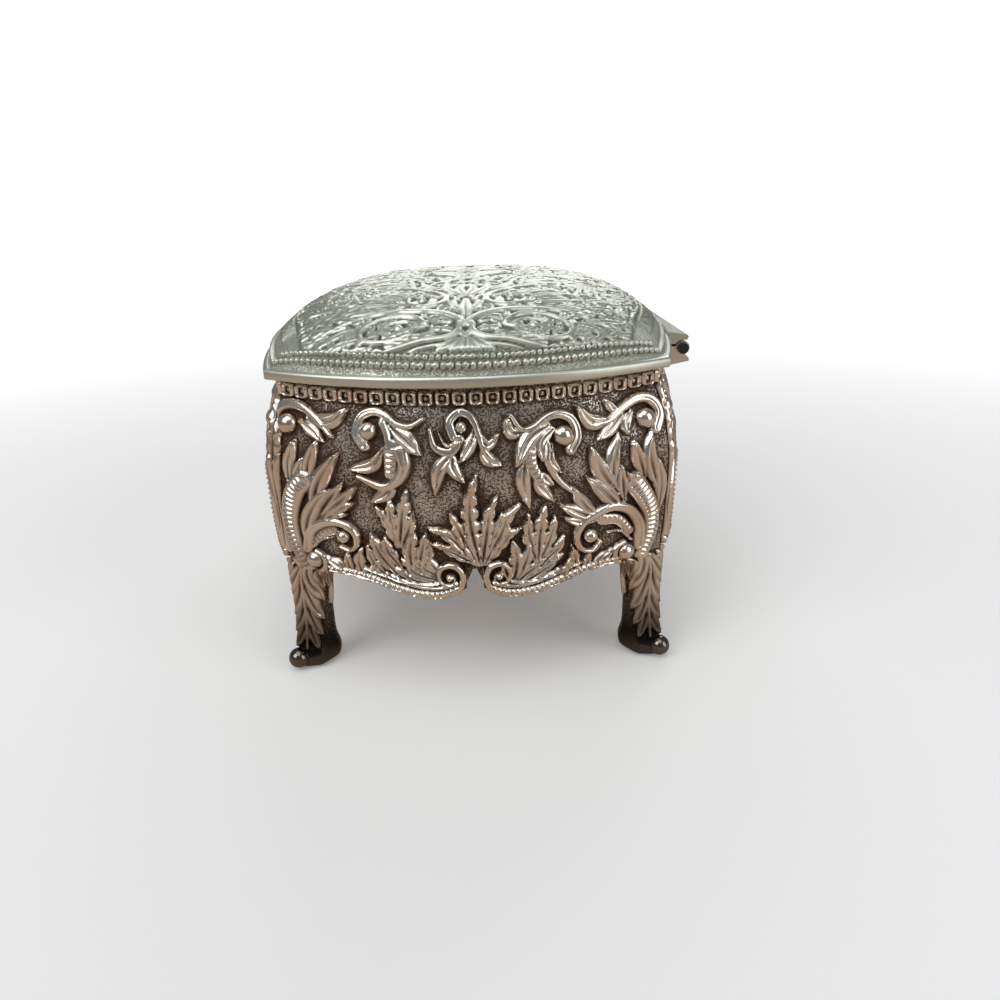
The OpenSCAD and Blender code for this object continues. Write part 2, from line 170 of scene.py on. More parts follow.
def smooth_path(points):
    """A smooth curve through given points."""
    ends = np.vstack([2 * points[0] - points[1], points, 2 * points[-1] - points[-2]])
    t = np.linspace(0, 1, PATH_STEPS, endpoint=False)[:, None]
    spans = []
    for a, b, c, d in zip(ends, ends[1:], ends[2:], ends[3:]):
        bend = (2 * a - 5 * b + 4 * c - d) * t**2
        turn = (3 * b - a - 3 * c + d) * t**3
        spans.append(0.5 * (2 * b + (c - a) * t + bend + turn))
    return np.vstack([*spans, points[-1:]])


def nearest_on_path(x, y, path):
    """Distance from a path, and the arc length at its nearest point, with the whole length."""
    step = np.diff(path, axis=0)
    lengths = np.maximum(np.hypot(step[:, 0], step[:, 1]), 1e-6)
    arc = np.concatenate([[0], np.cumsum(lengths)])
    best = np.full(x.shape, np.inf)
    along = np.zeros(x.shape)
    for k, (dx, dy) in enumerate(step):
        ax = x - path[k, 0]
        ay = y - path[k, 1]
        t = np.clip((ax * dx + ay * dy) / lengths[k] ** 2, 0, 1)
        gap = (ax - t * dx) ** 2 + (ay - t * dy) ** 2
        near = gap < best
        best = np.where(near, gap, best)
        along = np.where(near, arc[k] + t * lengths[k], along)
    return np.sqrt(best), along, arc[-1]


def rounding(q, softness=0.7):
    """Rounded section of a stroke: q is 0 on its middle line and 1 at its edge."""
    return np.clip(1 - q * q, 0, 1) ** softness


def ridge(q, middle, width):
    """1 on a line along a stroke, fading to 0 on both sides of it."""
    return np.exp(-(((q - middle) / width) ** 2))


def wave(arc, pitch):
    """A wave from -1 to 1 along a stroke."""
    return np.cos(2 * math.pi * arc / pitch)


def scroll_height(gap, arc, whole, width, height):
    """A band with raised lips and a hollow between them, which thins towards its end."""
    t = arc / whole
    q = gap / (width * (1 - 0.6 * t**1.5))
    hollow = 0.34 * ridge(q, 0, 0.42) * (1 - t) * (width > 0.9)
    return height * (1 - 0.25 * t) * rounding(q, 0.6) * (1 - hollow)


def tube_height(gap, arc, whole, width, height):
    """A round strand of one thickness."""
    return height * rounding(gap / width)


def leaf_height(gap, arc, whole, width, height):
    """A pointed leaf with grooves along it and a lifted tip."""
    t = arc / whole
    half = width * np.maximum(np.sin(math.pi * t**0.85) ** 0.75, 0.5 * (1 - t))
    q = gap / np.maximum(half, 0.05)
    groove = 0.55 * ridge(q, 0, 0.27) * (1 - 0.7 * t**2)
    veins = 0.2 * ridge(q, 0.62, 0.13) * (1 - t) * (width > 1.2)
    lift = 0.72 + 0.28 * np.sin(math.pi * t) + 0.22 * ridge(t, 0.86, 0.12)
    return height * lift * rounding(q, 0.55) * (1 - groove - veins)


def acanthus_height(gap, arc, whole, width, height):
    """A leaf with a few lobes along its edges."""
    notch = np.abs(np.sin(math.pi * (arc / 3.1 + 0.1))) ** 6
    return leaf_height(gap / (1 - 0.26 * notch), arc, whole, width, height) * (1 - 0.1 * notch)


def ribbed_height(gap, arc, whole, width, height):
    """A full band crossed by close ribs between plain edges."""
    q = gap / (width * (1 - 0.25 * arc / whole))
    ribs = 0.2 * (0.5 + 0.5 * wave(arc, 1.15)) * np.clip((0.62 - q) / 0.15, 0, 1)
    return height * rounding(q, 0.42) * (1 - ribs)


def husk_height(gap, arc, whole, width, height):
    """A tapering husk crossed by close ribs."""
    t = arc / whole
    ribs = 0.87 + 0.13 * wave(arc, 1.1)
    return height * rounding(gap / (width * (1 - 0.7 * t))) * ribs


def bead_height(gap, arc, whole, width, height):
    """A row of touching beads, narrowed across to look round on the steep rim of the dome."""
    count = max(1, round(whole / (2.2 * width)))
    pitch = whole / count
    along = np.mod(arc, pitch) - pitch / 2
    return height * np.sqrt(np.clip(1 - ((1.5 * gap) ** 2 + along**2) / width**2, 0, 1))


def comb_height(gap, arc, whole, width, height):
    """A flat band of short ribs side by side, which fades at both ends."""
    ribs = 0.5 + 0.5 * wave(arc, 1.3)
    ends = np.clip(np.minimum(arc, whole - arc) / 5, 0, 1)
    return height * ribs * np.clip((width - gap) / 0.3, 0, 1) * ends


STROKES = {
    "scroll": scroll_height,
    "tube": tube_height,
    "leaf": leaf_height,
    "acanthus": acanthus_height,
    "ribbed": ribbed_height,
    "husk": husk_height,
    "beads": bead_height,
    "comb": comb_height,
}


class Relief:
    """Heights of the relief over the points of a panel."""

    def __init__(self, x, y):
        self.x = x
        self.y = y
        self.height = np.zeros(x.shape)

    def near(self, points, reach):
        """Which points of the panel a stroke can touch."""
        low = points.min(axis=0) - reach
        high = points.max(axis=0) + reach
        return (self.x > low[0]) & (self.x < high[0]) & (self.y > low[1]) & (self.y < high[1])

    def raise_to(self, mask, heights):
        """Strokes that cross merge at the higher of the two."""
        self.height[mask] = np.maximum(self.height[mask], heights)

    def draw(self, ornament, flip=(1, 1), shift=0.0):
        """Draws an ornament: by kind, strokes of half width, height and then their points."""
        for kind, strokes in ornament.items():
            for width, height, *places in strokes:
                points = np.reshape(places, (-1, 2)) * flip + (shift, 0)
                self.stroke(kind, width, height, points)

    def stroke(self, kind, width, height, points):
        """Draws one stroke; a ball or a cup has one point."""
        points = np.asarray(points, float)
        if kind == "ball":
            mask = self.near(points, width)
            r = np.hypot(self.x[mask] - points[0, 0], self.y[mask] - points[0, 1])
            self.raise_to(mask, height * np.sqrt(np.clip(1 - (r / width) ** 2, 0, 1)))
        elif kind == "cup":
            self.cup(points, width, height)
        else:
            path = smooth_path(points)
            mask = self.near(path, width)
            gap, arc, whole = nearest_on_path(self.x[mask], self.y[mask], path)
            self.raise_to(mask, STROKES[kind](gap, arc, whole, width, height))

    def cup(self, points, width, height):
        """A square, rounded cup, open above, with a low boss in it."""
        mask = self.near(points, width)
        dx = (self.x[mask] - points[0, 0]) / width
        dy = (self.y[mask] - points[0, 1]) / width
        r = (dx**4 + dy**4) ** 0.25
        lip = rounding((r - 0.72) / 0.27) * np.clip((dy + 0.95) / 0.3, 0, 1)
        boss = 0.3 * rounding(r / 0.4)
        self.raise_to(mask, height * np.maximum(lip, boss))


def blurred(field, cells):
    """A field smoothed by a box of some cells each way, again and again."""
    span = 2 * cells + 1
    for _ in range(BLUR_PASSES):
        for axis in (0, 1):
            margins = [(0, 0), (0, 0)]
            margins[axis] = (cells + 1, cells)
            sums = np.cumsum(np.pad(field, margins, "edge"), axis)
            count = field.shape[axis]
            high = np.take(sums, range(span, span + count), axis)
            field = (high - np.take(sums, range(count), axis)) / span
    return field


def relief_values(height, cell):
    """Values for the finishes: how high a point stands, and how far above its surroundings."""
    cavity = 0.0
    for share, reach, least in SURROUNDINGS:
        cavity += share * (height - blurred(height, max(least, round(reach / cell))))
    return {"relief": height, "cavity": cavity}


# Ornament. Each kind of stroke has its list: half width, height, then across and down of each
# point. On a wall they are measured from the middle of the rim, in groups that keep their
# distance from the corner or from the middle on a longer wall.

# The middle of the visible panel, across
PANEL_MIDDLE = 1.4

LEFT_CORNER = {
    "ball": [(2.2, 2.2, -39.2, 9.2), (1.6, 2, -27, 33), (2.2, 2.4, -34.9, 40.2)],
    "scroll": [
        (1.5, 1.9, -41.6, 11.4, -43, 8.6, -41.6, 6, -38, 5.2, -34, 6.4, -31, 8.2, -28.2, 10.6),
        (1.4, 2.2, -36, 37.4, -34.6, 33, -31.4, 30.4, -27.4, 29.6, -24.4, 31.2, -23.8, 34,
         -25.4, 36, -27.6, 35.4),
        (0.5, 1.4, -35.4, 37.6, -32.4, 34.8, -29, 33.4),
        (1.2, 2.1, -39.6, 41.4, -37.6, 43.2, -34.6, 43.4, -32.4, 41.6, -32.4, 39, -34, 37.6),
    ],
    "leaf": [
        (1.8, 1.7, -34, 7.4, -29, 7.8, -25, 4.9), (1.6, 1.5, -36, 8.4, -32.6, 10, -29.8, 12),
        (2.1, 1.6, -42.8, 30, -42.8, 22, -40.2, 15.6),
        (1.7, 1.5, -41.6, 17, -41.8, 14, -40.6, 11.8),
        (1.8, 1.7, -36.6, 22.4, -35.4, 18.4, -34.4, 15.6),
        (1.7, 1.6, -38.2, 22, -38, 16.6, -36.6, 12), (1.7, 1.7, -33.4, 21.4, -33, 16, -31.2, 11.6),
        (2.2, 1.9, -33.6, 28, -30.6, 20, -26.4, 13.8),
        (2.2, 2, -35.6, 38, -35, 31, -31.6, 25, -27.8, 21.6),
        (1.7, 1.6, -32.4, 29, -28.6, 24, -25.6, 20.2), (1.7, 1.6, -32, 30, -27, 25, -22.4, 20.6),
        (1.6, 1.5, -32, 31, -27.6, 26.8, -23.2, 24.4),
        (1.3, 1.5, -32.4, 31.4, -29, 28.4, -25, 27.4),
        (1.7, 1.7, -31.8, 39.4, -29.4, 40.6, -26.6, 42.4),
        (1.3, 1.5, -25.4, 42.6, -26.6, 39.8, -26.6, 36.6),
    ],
    "tube": [(1.3, 1.4, -42.6, 27, -42.7, 33, -41.6, 39)],
    "ribbed": [
        (2.5, 2.1, -34.4, 20.6, -37, 23.4, -38.8, 28, -39.2, 34, -38, 39.4, -36.4, 42),
        (1.3, 1.1, -29.2, 31.8, -32, 33.2, -34.6, 36.2),
    ],
}

LEFT_MIDDLE = {
    "ball": [(1.9, 2.1, -20, 9)],
    "scroll": [
        (1.3, 1.9, -20.6, 12, -22.4, 9.6, -21.8, 6.4, -19.2, 5.2, -16.6, 5.8, -14, 7.4, -11, 7.8,
         -8.2, 6.4),
        (1.6, 1.9, -12.6, 12.8, -12.2, 16, -13.8, 19, -17, 20.4, -22, 18.4),
        (0.6, 1.9, -6.4, 42.6, -9, 43.2, -14, 42.4, -18.4, 40.4),
    ],
    "leaf": [
        (2.1, 1.8, -15, 8, -12, 10.4, -8.4, 13.6), (1.6, 1.7, -16.6, 12.6, -19, 16, -24.2, 17),
        (1.8, 1.7, -14.2, 19.8, -16.4, 22, -19.6, 23.8), (1.3, 1.4, -6, 40.4, -8, 38, -9.2, 35.6),
    ],
    "tube": [(1.1, 1.6, -17, 7, -15.8, 9.4, -15.2, 12)],
    "ribbed": [(1.8, 1.6, -14.8, 12, -15, 17.4)],
    "acanthus": [
        (1.8, 1.6, -14.8, 34, -16.4, 28.6, -18.8, 24.6),
        (1.8, 1.8, -14.6, 33.6, -15.6, 28, -15.5, 22.6),
        (2, 1.8, -14.2, 33.6, -13.2, 27, -12, 20.6), (1.6, 1.6, -13.8, 34, -12, 30, -11, 25.8),
        (2.1, 1.8, -15.6, 41, -18.6, 36.6, -20.6, 31),
        (1.8, 1.6, -14.8, 39, -17, 35.4, -17.4, 31.6),
        (1.6, 1.6, -18, 41.6, -20.6, 38.4, -21.6, 34),
        (2.1, 1.8, -12, 41, -12.2, 35.4, -10.8, 29.6), (1.8, 1.6, -11, 41, -9.6, 35, -8.2, 30),
        (1.5, 1.5, -10, 40.4, -8.4, 36.6, -7.6, 32.8),
        (1.6, 1.7, -6.4, 43.2, -11.4, 42.4, -16.4, 38.8),
        (1.6, 1.6, -6.6, 42.2, -11, 40.6, -14.4, 36.8), (1.5, 1.5, -6.4, 41.4, -9.6, 39, -12, 36),
        (1.8, 1.7, -22.8, 43.8, -24, 39, -22.9, 35),
        (1.5, 1.6, -21.2, 43.4, -20.4, 40, -18.8, 37.6),
    ],
}

CENTRE = {
    "ball": [(1.3, 1.8, -0.2, 8)],
    "scroll": [
        (1.1, 1.8, -1.8, 9.8, -2.6, 7, -0.6, 5.2, 1.8, 6, 3.2, 8.8, 4, 11.6, 5.2, 14.2, 7.6, 15.8),
        (1.2, 1.6, -0.6, 10.4, -2.4, 12.8, -5.6, 12, -6.8, 8.4),
        (0.5, 1.6, -1.2, 11, -3.4, 11.4, -5, 8.8),
    ],
    "leaf": [
        (1.6, 1.7, 4, 12, 5.2, 14.6, 8, 15.8), (1.2, 1.6, 3.2, 9, 5.2, 11.8, 7.8, 9.4),
        (1.7, 1.7, -2, 13, -5, 16.6, -5.9, 21.8), (1.6, 1.6, -2.2, 13, -2, 16.4, 0.2, 19.2),
        (1.5, 1.6, 2.6, 8.6, 1.4, 12, -0.8, 15.2), (1.2, 1.7, 5.6, 33, 6.8, 29.6, 7.6, 26),
    ],
    "acanthus": [
        (2.2, 2.1, 2.6, 38, 1, 28.4, 1.2, 22.4, 2.8, 16.8),
        (2, 1.9, 3.2, 38, 4.4, 30, 5, 26, 6.8, 22.2),
        (2, 1.9, 3.8, 38, 6.8, 32, 8.8, 27.4, 11.6, 24.4),
        (1.6, 1.7, 4.2, 38, 7, 34, 9.2, 31.4, 11.8, 29.8),
        (2, 1.9, 2, 38, -0.6, 32, -2, 28.4, -3.4, 25.4),
        (1.8, 1.8, 1.8, 38, -2, 33, -5, 30.4, -8, 29.4),
        (1.5, 1.6, 1.4, 38, -2.4, 35.6, -5.6, 33.6, -7.6, 33.2),
    ],
}

RIGHT_MIDDLE = {
    "ball": [(2.2, 2.2, 21.2, 11)],
    "scroll": [
        (1.3, 1.9, 22.4, 14, 24, 11.4, 23.4, 8.2, 21, 6.8, 18, 7.2, 15, 8.8, 12.4, 9, 10.4, 6.2),
        (1, 1.7, 17.4, 12.4, 17.4, 16, 19.4, 20, 22.6, 23.2, 26, 26.4),
        (0.6, 1.9, 9.4, 42.8, 12.6, 43.4, 17, 42.4, 20.4, 40.8),
    ],
    "leaf": [
        (1.5, 1.6, 12.6, 9.6, 10, 9.4, 9.6, 6.4), (2.1, 1.8, 18, 8.8, 14, 11, 10.6, 16.6),
        (1.6, 1.6, 19, 9.6, 16.4, 12, 16.2, 16), (1.3, 1.6, 18.4, 12.6, 18, 15.6, 20, 18.6),
        (1.7, 1.7, 12.8, 14.6, 12.2, 20, 13.4, 26), (1.6, 1.6, 14.4, 18.6, 16, 21.6, 18.4, 24.6),
        (1.2, 1.5, 15.6, 18, 17.2, 20, 18.6, 21), (1.3, 1.5, 9.4, 43, 8.2, 40.4, 7.6, 37.6),
    ],
    "ribbed": [(1.6, 1.5, 13.8, 13.2, 14, 16.4, 15.8, 20)],
    "acanthus": [
        (1.8, 1.7, 14.8, 38.6, 13.2, 32, 13.2, 26.8), (2, 1.9, 15.2, 38.6, 15.6, 31, 16.8, 25),
        (1.7, 1.7, 15.6, 38.6, 17.8, 33, 18.9, 27.8), (1.6, 1.6, 16, 39.4, 19.4, 36, 20.9, 32.8),
        (2, 1.8, 9.8, 43.4, 10.6, 38, 9.6, 32.4), (1.7, 1.7, 10.8, 42.6, 12.6, 38, 13.4, 33.6),
        (1.6, 1.6, 9.8, 44, 13.6, 40.6, 16.8, 38), (1.7, 1.7, 10.2, 44.4, 15.6, 41.4, 20.8, 37.2),
        (2.1, 1.7, 12, 45, 17.6, 43.4, 21.4, 41.6, 22.4, 38.8),
        (1.6, 1.6, 22.6, 44, 23.6, 40, 22.6, 35.8),
    ],
}

RIGHT_CORNER = {
    "ball": [(2.2, 2.2, 40.4, 10.2), (1.7, 2, 26.9, 34.4), (2.2, 2.4, 35.6, 40.4)],
    "scroll": [
        (1.5, 1.9, 42.2, 12.6, 43.8, 9.4, 42.4, 6.6, 39, 6, 35, 7.4, 31.4, 9.4, 27.6, 9.6),
        (1.5, 2.2, 38.6, 39.4, 38.4, 34.4, 36, 30.2, 32, 28.2, 28, 29, 24.8, 31, 23.6, 34.2,
         25, 37.2, 27.6, 37.8, 29, 36),
        (0.5, 1.4, 36.6, 37.4, 33.6, 34.6, 29.8, 34.2),
        (1.2, 2.1, 40.4, 42.6, 38, 44.4, 35, 43.8, 33, 41.6, 33.2, 38.8, 35, 37.6),
    ],
    "leaf": [
        (1.8, 1.7, 31.6, 9.2, 27.4, 9, 24.8, 5.4), (1.6, 1.5, 34.6, 8.6, 31.6, 11, 28.2, 13),
        (1.1, 1.4, 34, 8, 32.6, 6.6, 31.6, 5), (1.5, 1.5, 37.2, 8.4, 35.4, 10.4, 35.2, 13),
        (2.1, 1.8, 32.6, 25, 28.8, 19.6, 26.6, 13.8),
        (1.8, 1.7, 31.4, 23.4, 31.6, 17.4, 33.2, 11.8), (2, 1.8, 33.6, 29, 29.6, 24.4, 25.4, 20.2),
        (1.5, 1.6, 34.4, 27.4, 33.6, 23, 33.2, 18.6), (1.7, 1.7, 38.8, 22.6, 37.4, 18, 36.4, 14),
        (2, 1.8, 42.2, 25.6, 40.2, 18.6, 40.8, 12.8), (1.8, 1.6, 43, 32, 43.2, 25, 41.6, 18.4),
        (1.7, 1.7, 28, 30, 25, 26.4, 22.2, 21.8), (1.7, 1.7, 28.4, 30.6, 24, 28.2, 19.2, 25.4),
        (1.3, 1.5, 27.6, 30.8, 23.8, 30.4, 20.4, 28.8), (1.8, 2, 39.6, 29, 37.6, 24.6, 34.6, 20.8),
        (1.7, 1.7, 32.2, 39.4, 29.6, 41.2, 26.6, 43),
        (1.3, 1.5, 24.8, 43.4, 26.2, 41.4, 26.9, 38.2),
    ],
    "ribbed": [
        (2.5, 2.1, 36.4, 23.4, 39.2, 27.6, 41, 32, 41.2, 37, 39.8, 41.8),
        (1.5, 1.2, 29.6, 31, 33.2, 31.8, 36.2, 35.2),
    ],
}

# Each group with the share of a longer wall's extra length that moves it outwards
PANEL_GROUPS = (
    (LEFT_CORNER, -1.0),
    (LEFT_MIDDLE, -0.35),
    (CENTRE, 0.0),
    (RIGHT_MIDDLE, 0.35),
    (RIGHT_CORNER, 1.0),
)

# Volute at the notch of an apron, on one side of the middle
VOLUTE = {
    "scroll": [
        (0.95, 2.3, 6.4, 45.4, 3.8, 44.6, 2.7, 42.8, 2.6, 40.6, 3.6, 38.8, 5.5, 38.2, 7.2, 39.2,
         7.7, 41.2, 6.8, 43, 5.1, 43, 4.3, 41.8, 4.8, 40.8),
    ],
    "ball": [(1, 2.2, 5.4, 41.2)],
}

# Bands that follow the edge of an apron from its notch: kind, half width, height, distance from
# the edge and share of the way to the leg
APRON_BANDS = (
    ("tube", 0.5, 1.6, 0.5, 1.0),
    ("husk", 1.5, 2.0, 1.4, 1.0),
    ("scroll", 0.75, 1.9, 3.0, 0.7),
)

# Leaves that fill the wider spaces of the long walls
SIDE_FILL = {
    "leaf": [
        (1.69, 1.56, -30, 27, -27.6, 20, -26.4, 14), (1.69, 1.56, -27, 29, -24.4, 22, -23.6, 15),
        (1.56, 1.43, -30, 40, -28.4, 37, -29.6, 33.4), (1.69, 1.56, 27, 29, 26, 21, 23.4, 14),
        (1.69, 1.56, 30, 27, 28.6, 19, 27.4, 12), (1.56, 1.43, 30.6, 40, 30.4, 36, 31, 33),
    ],
}

# Ornament of the lid: across and towards an end from the middle, repeated on all four quarters
LID_QUARTER = {
    "scroll": [
        (1.03, 1.16, 0.2, 51.8, 2, 49, 6, 46.4, 12, 45, 20, 44.9, 27, 46.4, 33, 49.4),
        (0.54, 0.72, 3, 50.4, 6, 48, 9, 48.6, 13, 46.8, 19, 46.6),
        (0.81, 1.08, 8.2, 51, 11.4, 47.8, 17.4, 47.4, 21.6, 50, 21, 53.4, 16, 55, 11.2, 53.8,
         10.2, 51.4, 12.4, 49.6, 15.8, 49.8, 17.2, 51.6, 15.4, 53),
        (0.9, 1.01, 1.4, 51.6, 1.6, 54.2, 4.4, 55.7, 9, 56, 15, 57, 22, 57.2),
        (0.54, 0.72, 4, 57.2, 9, 57.6, 14, 58.6, 19, 58.8),
        (0.54, 0.8, 6.6, 54.4, 7, 51.8, 5.4, 50.2, 3.2, 50.9),
        (1.03, 1.16, 8.8, 43.2, 5.6, 41.8, 4.4, 38.4, 6, 34.8, 9.6, 31.4, 14, 28.5, 19, 27,
         25, 27.8, 29.6, 31),
        (0.72, 1.01, 8.8, 43.2, 12, 41.6, 12.8, 38.2, 10.8, 36, 8.2, 36.6, 7.4, 39),
        (0.54, 0.72, 8, 35.2, 12, 32.4, 17, 30, 22, 30, 26, 32),
        (1.03, 1.16, 4, 19.6, 7, 22.6, 11, 20.6, 12, 16.4, 16, 12.8, 22, 12, 28, 14.4, 32.4, 19.6,
         33, 25),
        (0.72, 0.94, 4, 19.6, 4.4, 16.2, 7.6, 15.2, 9.4, 17.4, 7.8, 19.4),
        (0.99, 1.08, 12, 6, 17, 6.6, 22, 3.8, 26.4, 0.8),
    ],
    "ball": [
        (1.12, 1.09, 14, 51.5), (0.88, 0.82, 4, 52.6), (1.04, 1.02, 9.6, 38.8),
        (0.96, 1.02, 7, 17.6), (1.6, 1.22, 0, 0),
    ],
    "leaf": [
        (1.24, 0.91, 0, 55.6, 0, 60.4), (1.13, 0.84, 0.6, 56, 2, 58, 3.4, 60),
        (1.13, 0.84, 1.6, 56, 4, 57.6, 6.6, 59.6), (1.34, 0.91, 21, 50, 26, 49.4, 31.6, 51.6),
        (1.24, 0.91, 21.6, 53, 26, 52.6, 31, 54.4), (1.24, 0.84, 19.6, 55.4, 24, 55.4, 28.6, 56.4),
        (1.34, 0.91, 25, 47.6, 30, 46, 35.6, 43.6), (1.34, 0.91, 28, 49, 33, 48.6, 37.6, 46),
        (1.24, 0.84, 31, 51.4, 35, 50.6, 38.2, 48.4), (1.86, 1.06, 0, 50, 0, 45, 0, 38.6),
        (1.24, 0.91, 0.8, 47, 2.6, 43.6, 2.2, 39.6), (1.66, 0.99, 12, 36, 15.4, 33, 20.4, 32.8),
        (1.75, 1.06, 13.4, 38.6, 18, 35.6, 24.4, 34.6),
        (1.75, 1.06, 13.6, 41, 19.6, 39, 26.6, 38.6), (1.55, 0.91, 13, 43, 19.6, 42.6, 26.6, 42.8),
        (1.75, 0.99, 26, 38, 30.6, 35, 36.6, 34.4), (1.66, 0.99, 26.6, 41, 31, 39.6, 37.4, 40),
        (1.34, 0.91, 29, 31, 33, 30.6, 37.6, 28.4), (1.66, 0.99, 0, 37, 1.6, 31, 0.8, 25.6),
        (1.66, 0.99, 1, 37, 4, 31.4, 5.4, 26), (1.55, 0.99, 5.6, 31, 9.4, 26.6, 11, 21.4),
        (1.75, 1.06, 12.6, 24, 17, 20, 22.6, 19.8), (1.75, 1.06, 13, 27, 17.6, 23.4, 24.6, 23.2),
        (1.66, 0.99, 22, 26.6, 26, 22.6, 29, 18.4), (1.55, 0.91, 28, 27.6, 30, 24, 30.4, 20.6),
        (1.55, 0.99, 33, 26, 36.8, 22.4, 38.4, 17.4), (2.48, 1.37, 1.4, 12.6, 4.4, 9, 10.6, 7.6),
        (2.28, 1.29, 1.2, 9, 5, 4.6, 11.6, 2.6), (1.86, 1.14, 1, 14, 2.6, 17.4, 1.4, 22.4),
        (1.66, 1.06, 0.4, 2, 0.8, 5, 0.3, 9), (1.75, 1.06, 18, 8, 24, 9.6, 30.6, 8),
        (1.75, 1.06, 22, 4.8, 28, 5.2, 34.6, 2), (1.75, 0.99, 29, 12.6, 34, 11.6, 39, 7.4),
        (1.55, 0.99, 32.6, 17.6, 36.4, 15.4, 40, 12),
    ],
    "comb": [
        (0.99, 0.48, 8.6, 33.8, 12.6, 31.2, 17.4, 28.7, 22, 28.5),
        (0.99, 0.48, 14.4, 16, 18, 14, 22.6, 13.8, 26.6, 15.8),
    ],
}

# Ornament of a leg: round from the outer corner and down from the knee, the same on both faces
LEG_HALF = {
    "tube": [
        (0.6, 1.3, 0, -1, 0, 8, 0, 16, 0, 23.6),
        (0.6, 1.2, 12.4, 0.6, 10.6, 1.6, 9, 3.6, 7.6, 6.8, 6.8, 10, 6.4, 13),
    ],
    "leaf": [
        (2, 1.6, 0.6, -1, 2, 5, 4.2, 11.6), (1.9, 1.5, 0.4, 6, 1.6, 11, 3.9, 16.6),
        (1.7, 1.4, 0.3, 11, 1.3, 15.6, 3.5, 20.6), (1.5, 1.3, 0.3, 15.6, 1.1, 19.6, 2.9, 24.2),
        (1.5, 1.5, 4.6, -0.4, 4, 3.4, 4.6, 8.4), (1.2, 1.4, 6.6, 8.4, 6, 5.4, 6, 2.2),
        (1.3, 1.5, 7, 8, 7.6, 4.8, 8.2, 1), (1.1, 1.3, 7.4, 7.4, 8.8, 4.8, 10.6, 2.6),
    ],
}


# Grids and pieces

# Faces that meet at a sharper angle than this keep a sharp edge
SHARP_ANGLE = math.radians(62)


def unit(v):
    """Vectors scaled to length 1."""
    return v / np.maximum(np.linalg.norm(v, axis=-1, keepdims=True), 1e-9)


def grid_normals(points):
    """Normals of a surface given as a grid of points."""
    return unit(np.cross(np.gradient(points, axis=1), np.gradient(points, axis=0)))


def grid_cell(size):
    return size * 1.0


def in_frame(d, points, turn):
    """A grid in metres on its own side of the box, at the place of the frame."""
    return (points * (*turn, 1.0) + (d.shift, 0, 0)) * MM


def add_grid(bm, points):
    """Adds a grid to a bmesh and lays it over a grid of points; gives its vertex numbers."""
    rows, columns = points.shape[:2]
    start = len(bm.verts)
    bmesh.ops.create_grid(bm, x_segments=columns - 1, y_segments=rows - 1, size=1)
    bm.verts.ensure_lookup_table()
    for v, p in zip(bm.verts[start:], points.reshape(-1, 3)):
        v.co = p
    return start + np.arange(rows * columns).reshape(rows, columns)


def closed_skin(name, d, outer, inner, turn=(1, 1), values=None):
    """A closed piece between an outer and an inner grid of points in millimetres."""
    bm = bmesh.new()
    sides = []
    for points in (outer, inner):
        at = add_grid(bm, in_frame(d, points, turn))
        sides.append((at[0], at[-1], at[:, 0], at[:, -1]))
    # Side by side, so that no face crosses the hollow
    for chains in zip(*sides):
        pairs = [pair for chain in chains for pair in zip(chain, chain[1:])]
        rim = [bm.edges.get((bm.verts[i], bm.verts[j])) for i, j in pairs]
        bmesh.ops.bridge_loops(bm, edges=rim)
        bm.verts.ensure_lookup_table()
    return finish_piece(name, bm, values)


def finish_piece(name, bm, values=None):
    """Turns a bmesh into a piece with outward faces, smooth shading and its named values."""
    bmesh.ops.recalc_face_normals(bm, faces=bm.faces)
    mesh = bpy.data.meshes.new(name)
    bm.to_mesh(mesh)
    bm.free()
    mesh.shade_smooth()
    mesh.set_sharp_from_angle(angle=SHARP_ANGLE)
    for key, field in (values or {}).items():
        full = np.zeros(len(mesh.vertices), np.float32)
        full[: field.size] = field.ravel()
        mesh.attributes.new(key, "FLOAT", "POINT").data.foreach_set("value", full)
    obj = bpy.data.objects.new(name, mesh)
    bpy.context.scene.collection.objects.link(obj)
    return obj


def place(obj, body, node, material):
    """The piece stands for a cast or sewn one and moves with its body."""
    obj.data.materials.append(material)
    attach(obj, body)
    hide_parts(node)


# Walls

# Cups of the border: about how far apart, half their width as a share of that, height and depth
CUP_PITCH = 3.65
CUP_SHARE = 0.46
CUP_HEIGHT = 1.1
CUP_DROP = 2.3

# The apron bands start this far beyond the notch and end this far beyond the spring of the arm
BAND_START = 2.5
BAND_END = 4.0

# Plain ground behind the hinge: its depth, and the width of its soft edge
HINGE_GROUND = 9.0
HINGE_GROUND_EDGE = 1.5

# The relief fades over these widths at the corners and at the rim
CORNER_FADE = 0.8
RIM_FADE = 0.5


def swell(d, drop):
    """How far a wall stands out at a depth below the rim."""
    high = d.belly * (1 - ((d.belly_drop - drop) / (d.belly_drop - d.border_height)) ** 2)
    low = d.belly - d.tuck * ((drop - d.belly_drop) / (d.wall_height - d.belly_drop)) ** 2
    return np.where(drop < d.border_height, 0, np.where(drop < d.belly_drop, high, low))


def end_plan(d, s, out):
    """Plan of an end wall, s from -1 to 1 between its corners."""
    return s * (d.wall_x + out), -(d.wall_y + out + d.end_bow * (1 - s * s))


def side_plan(d, s, out):
    """Plan of a long wall, s from -1 to 1 between its corners."""
    return -(d.wall_x + out + d.side_bow * (1 - s * s)), s * (d.wall_y + out)


def apron(d, a, low_x, spring_x):
    """Lower edge of a wall above the tops of the legs, at a distance from its middle."""
    arm = -d.lobe_drop * (0.5 + 0.5 * np.cos(math.pi * (a - low_x) / (spring_x - low_x)))
    lobe = -d.lobe_drop * (1 - 0.6 * ((low_x - a) / (low_x - d.notch_width)) ** 2)
    edge = np.where(a >= low_x, arm, np.where(a >= d.notch_width, lobe, d.notch_rise))
    return np.where(a >= spring_x, 0, edge)


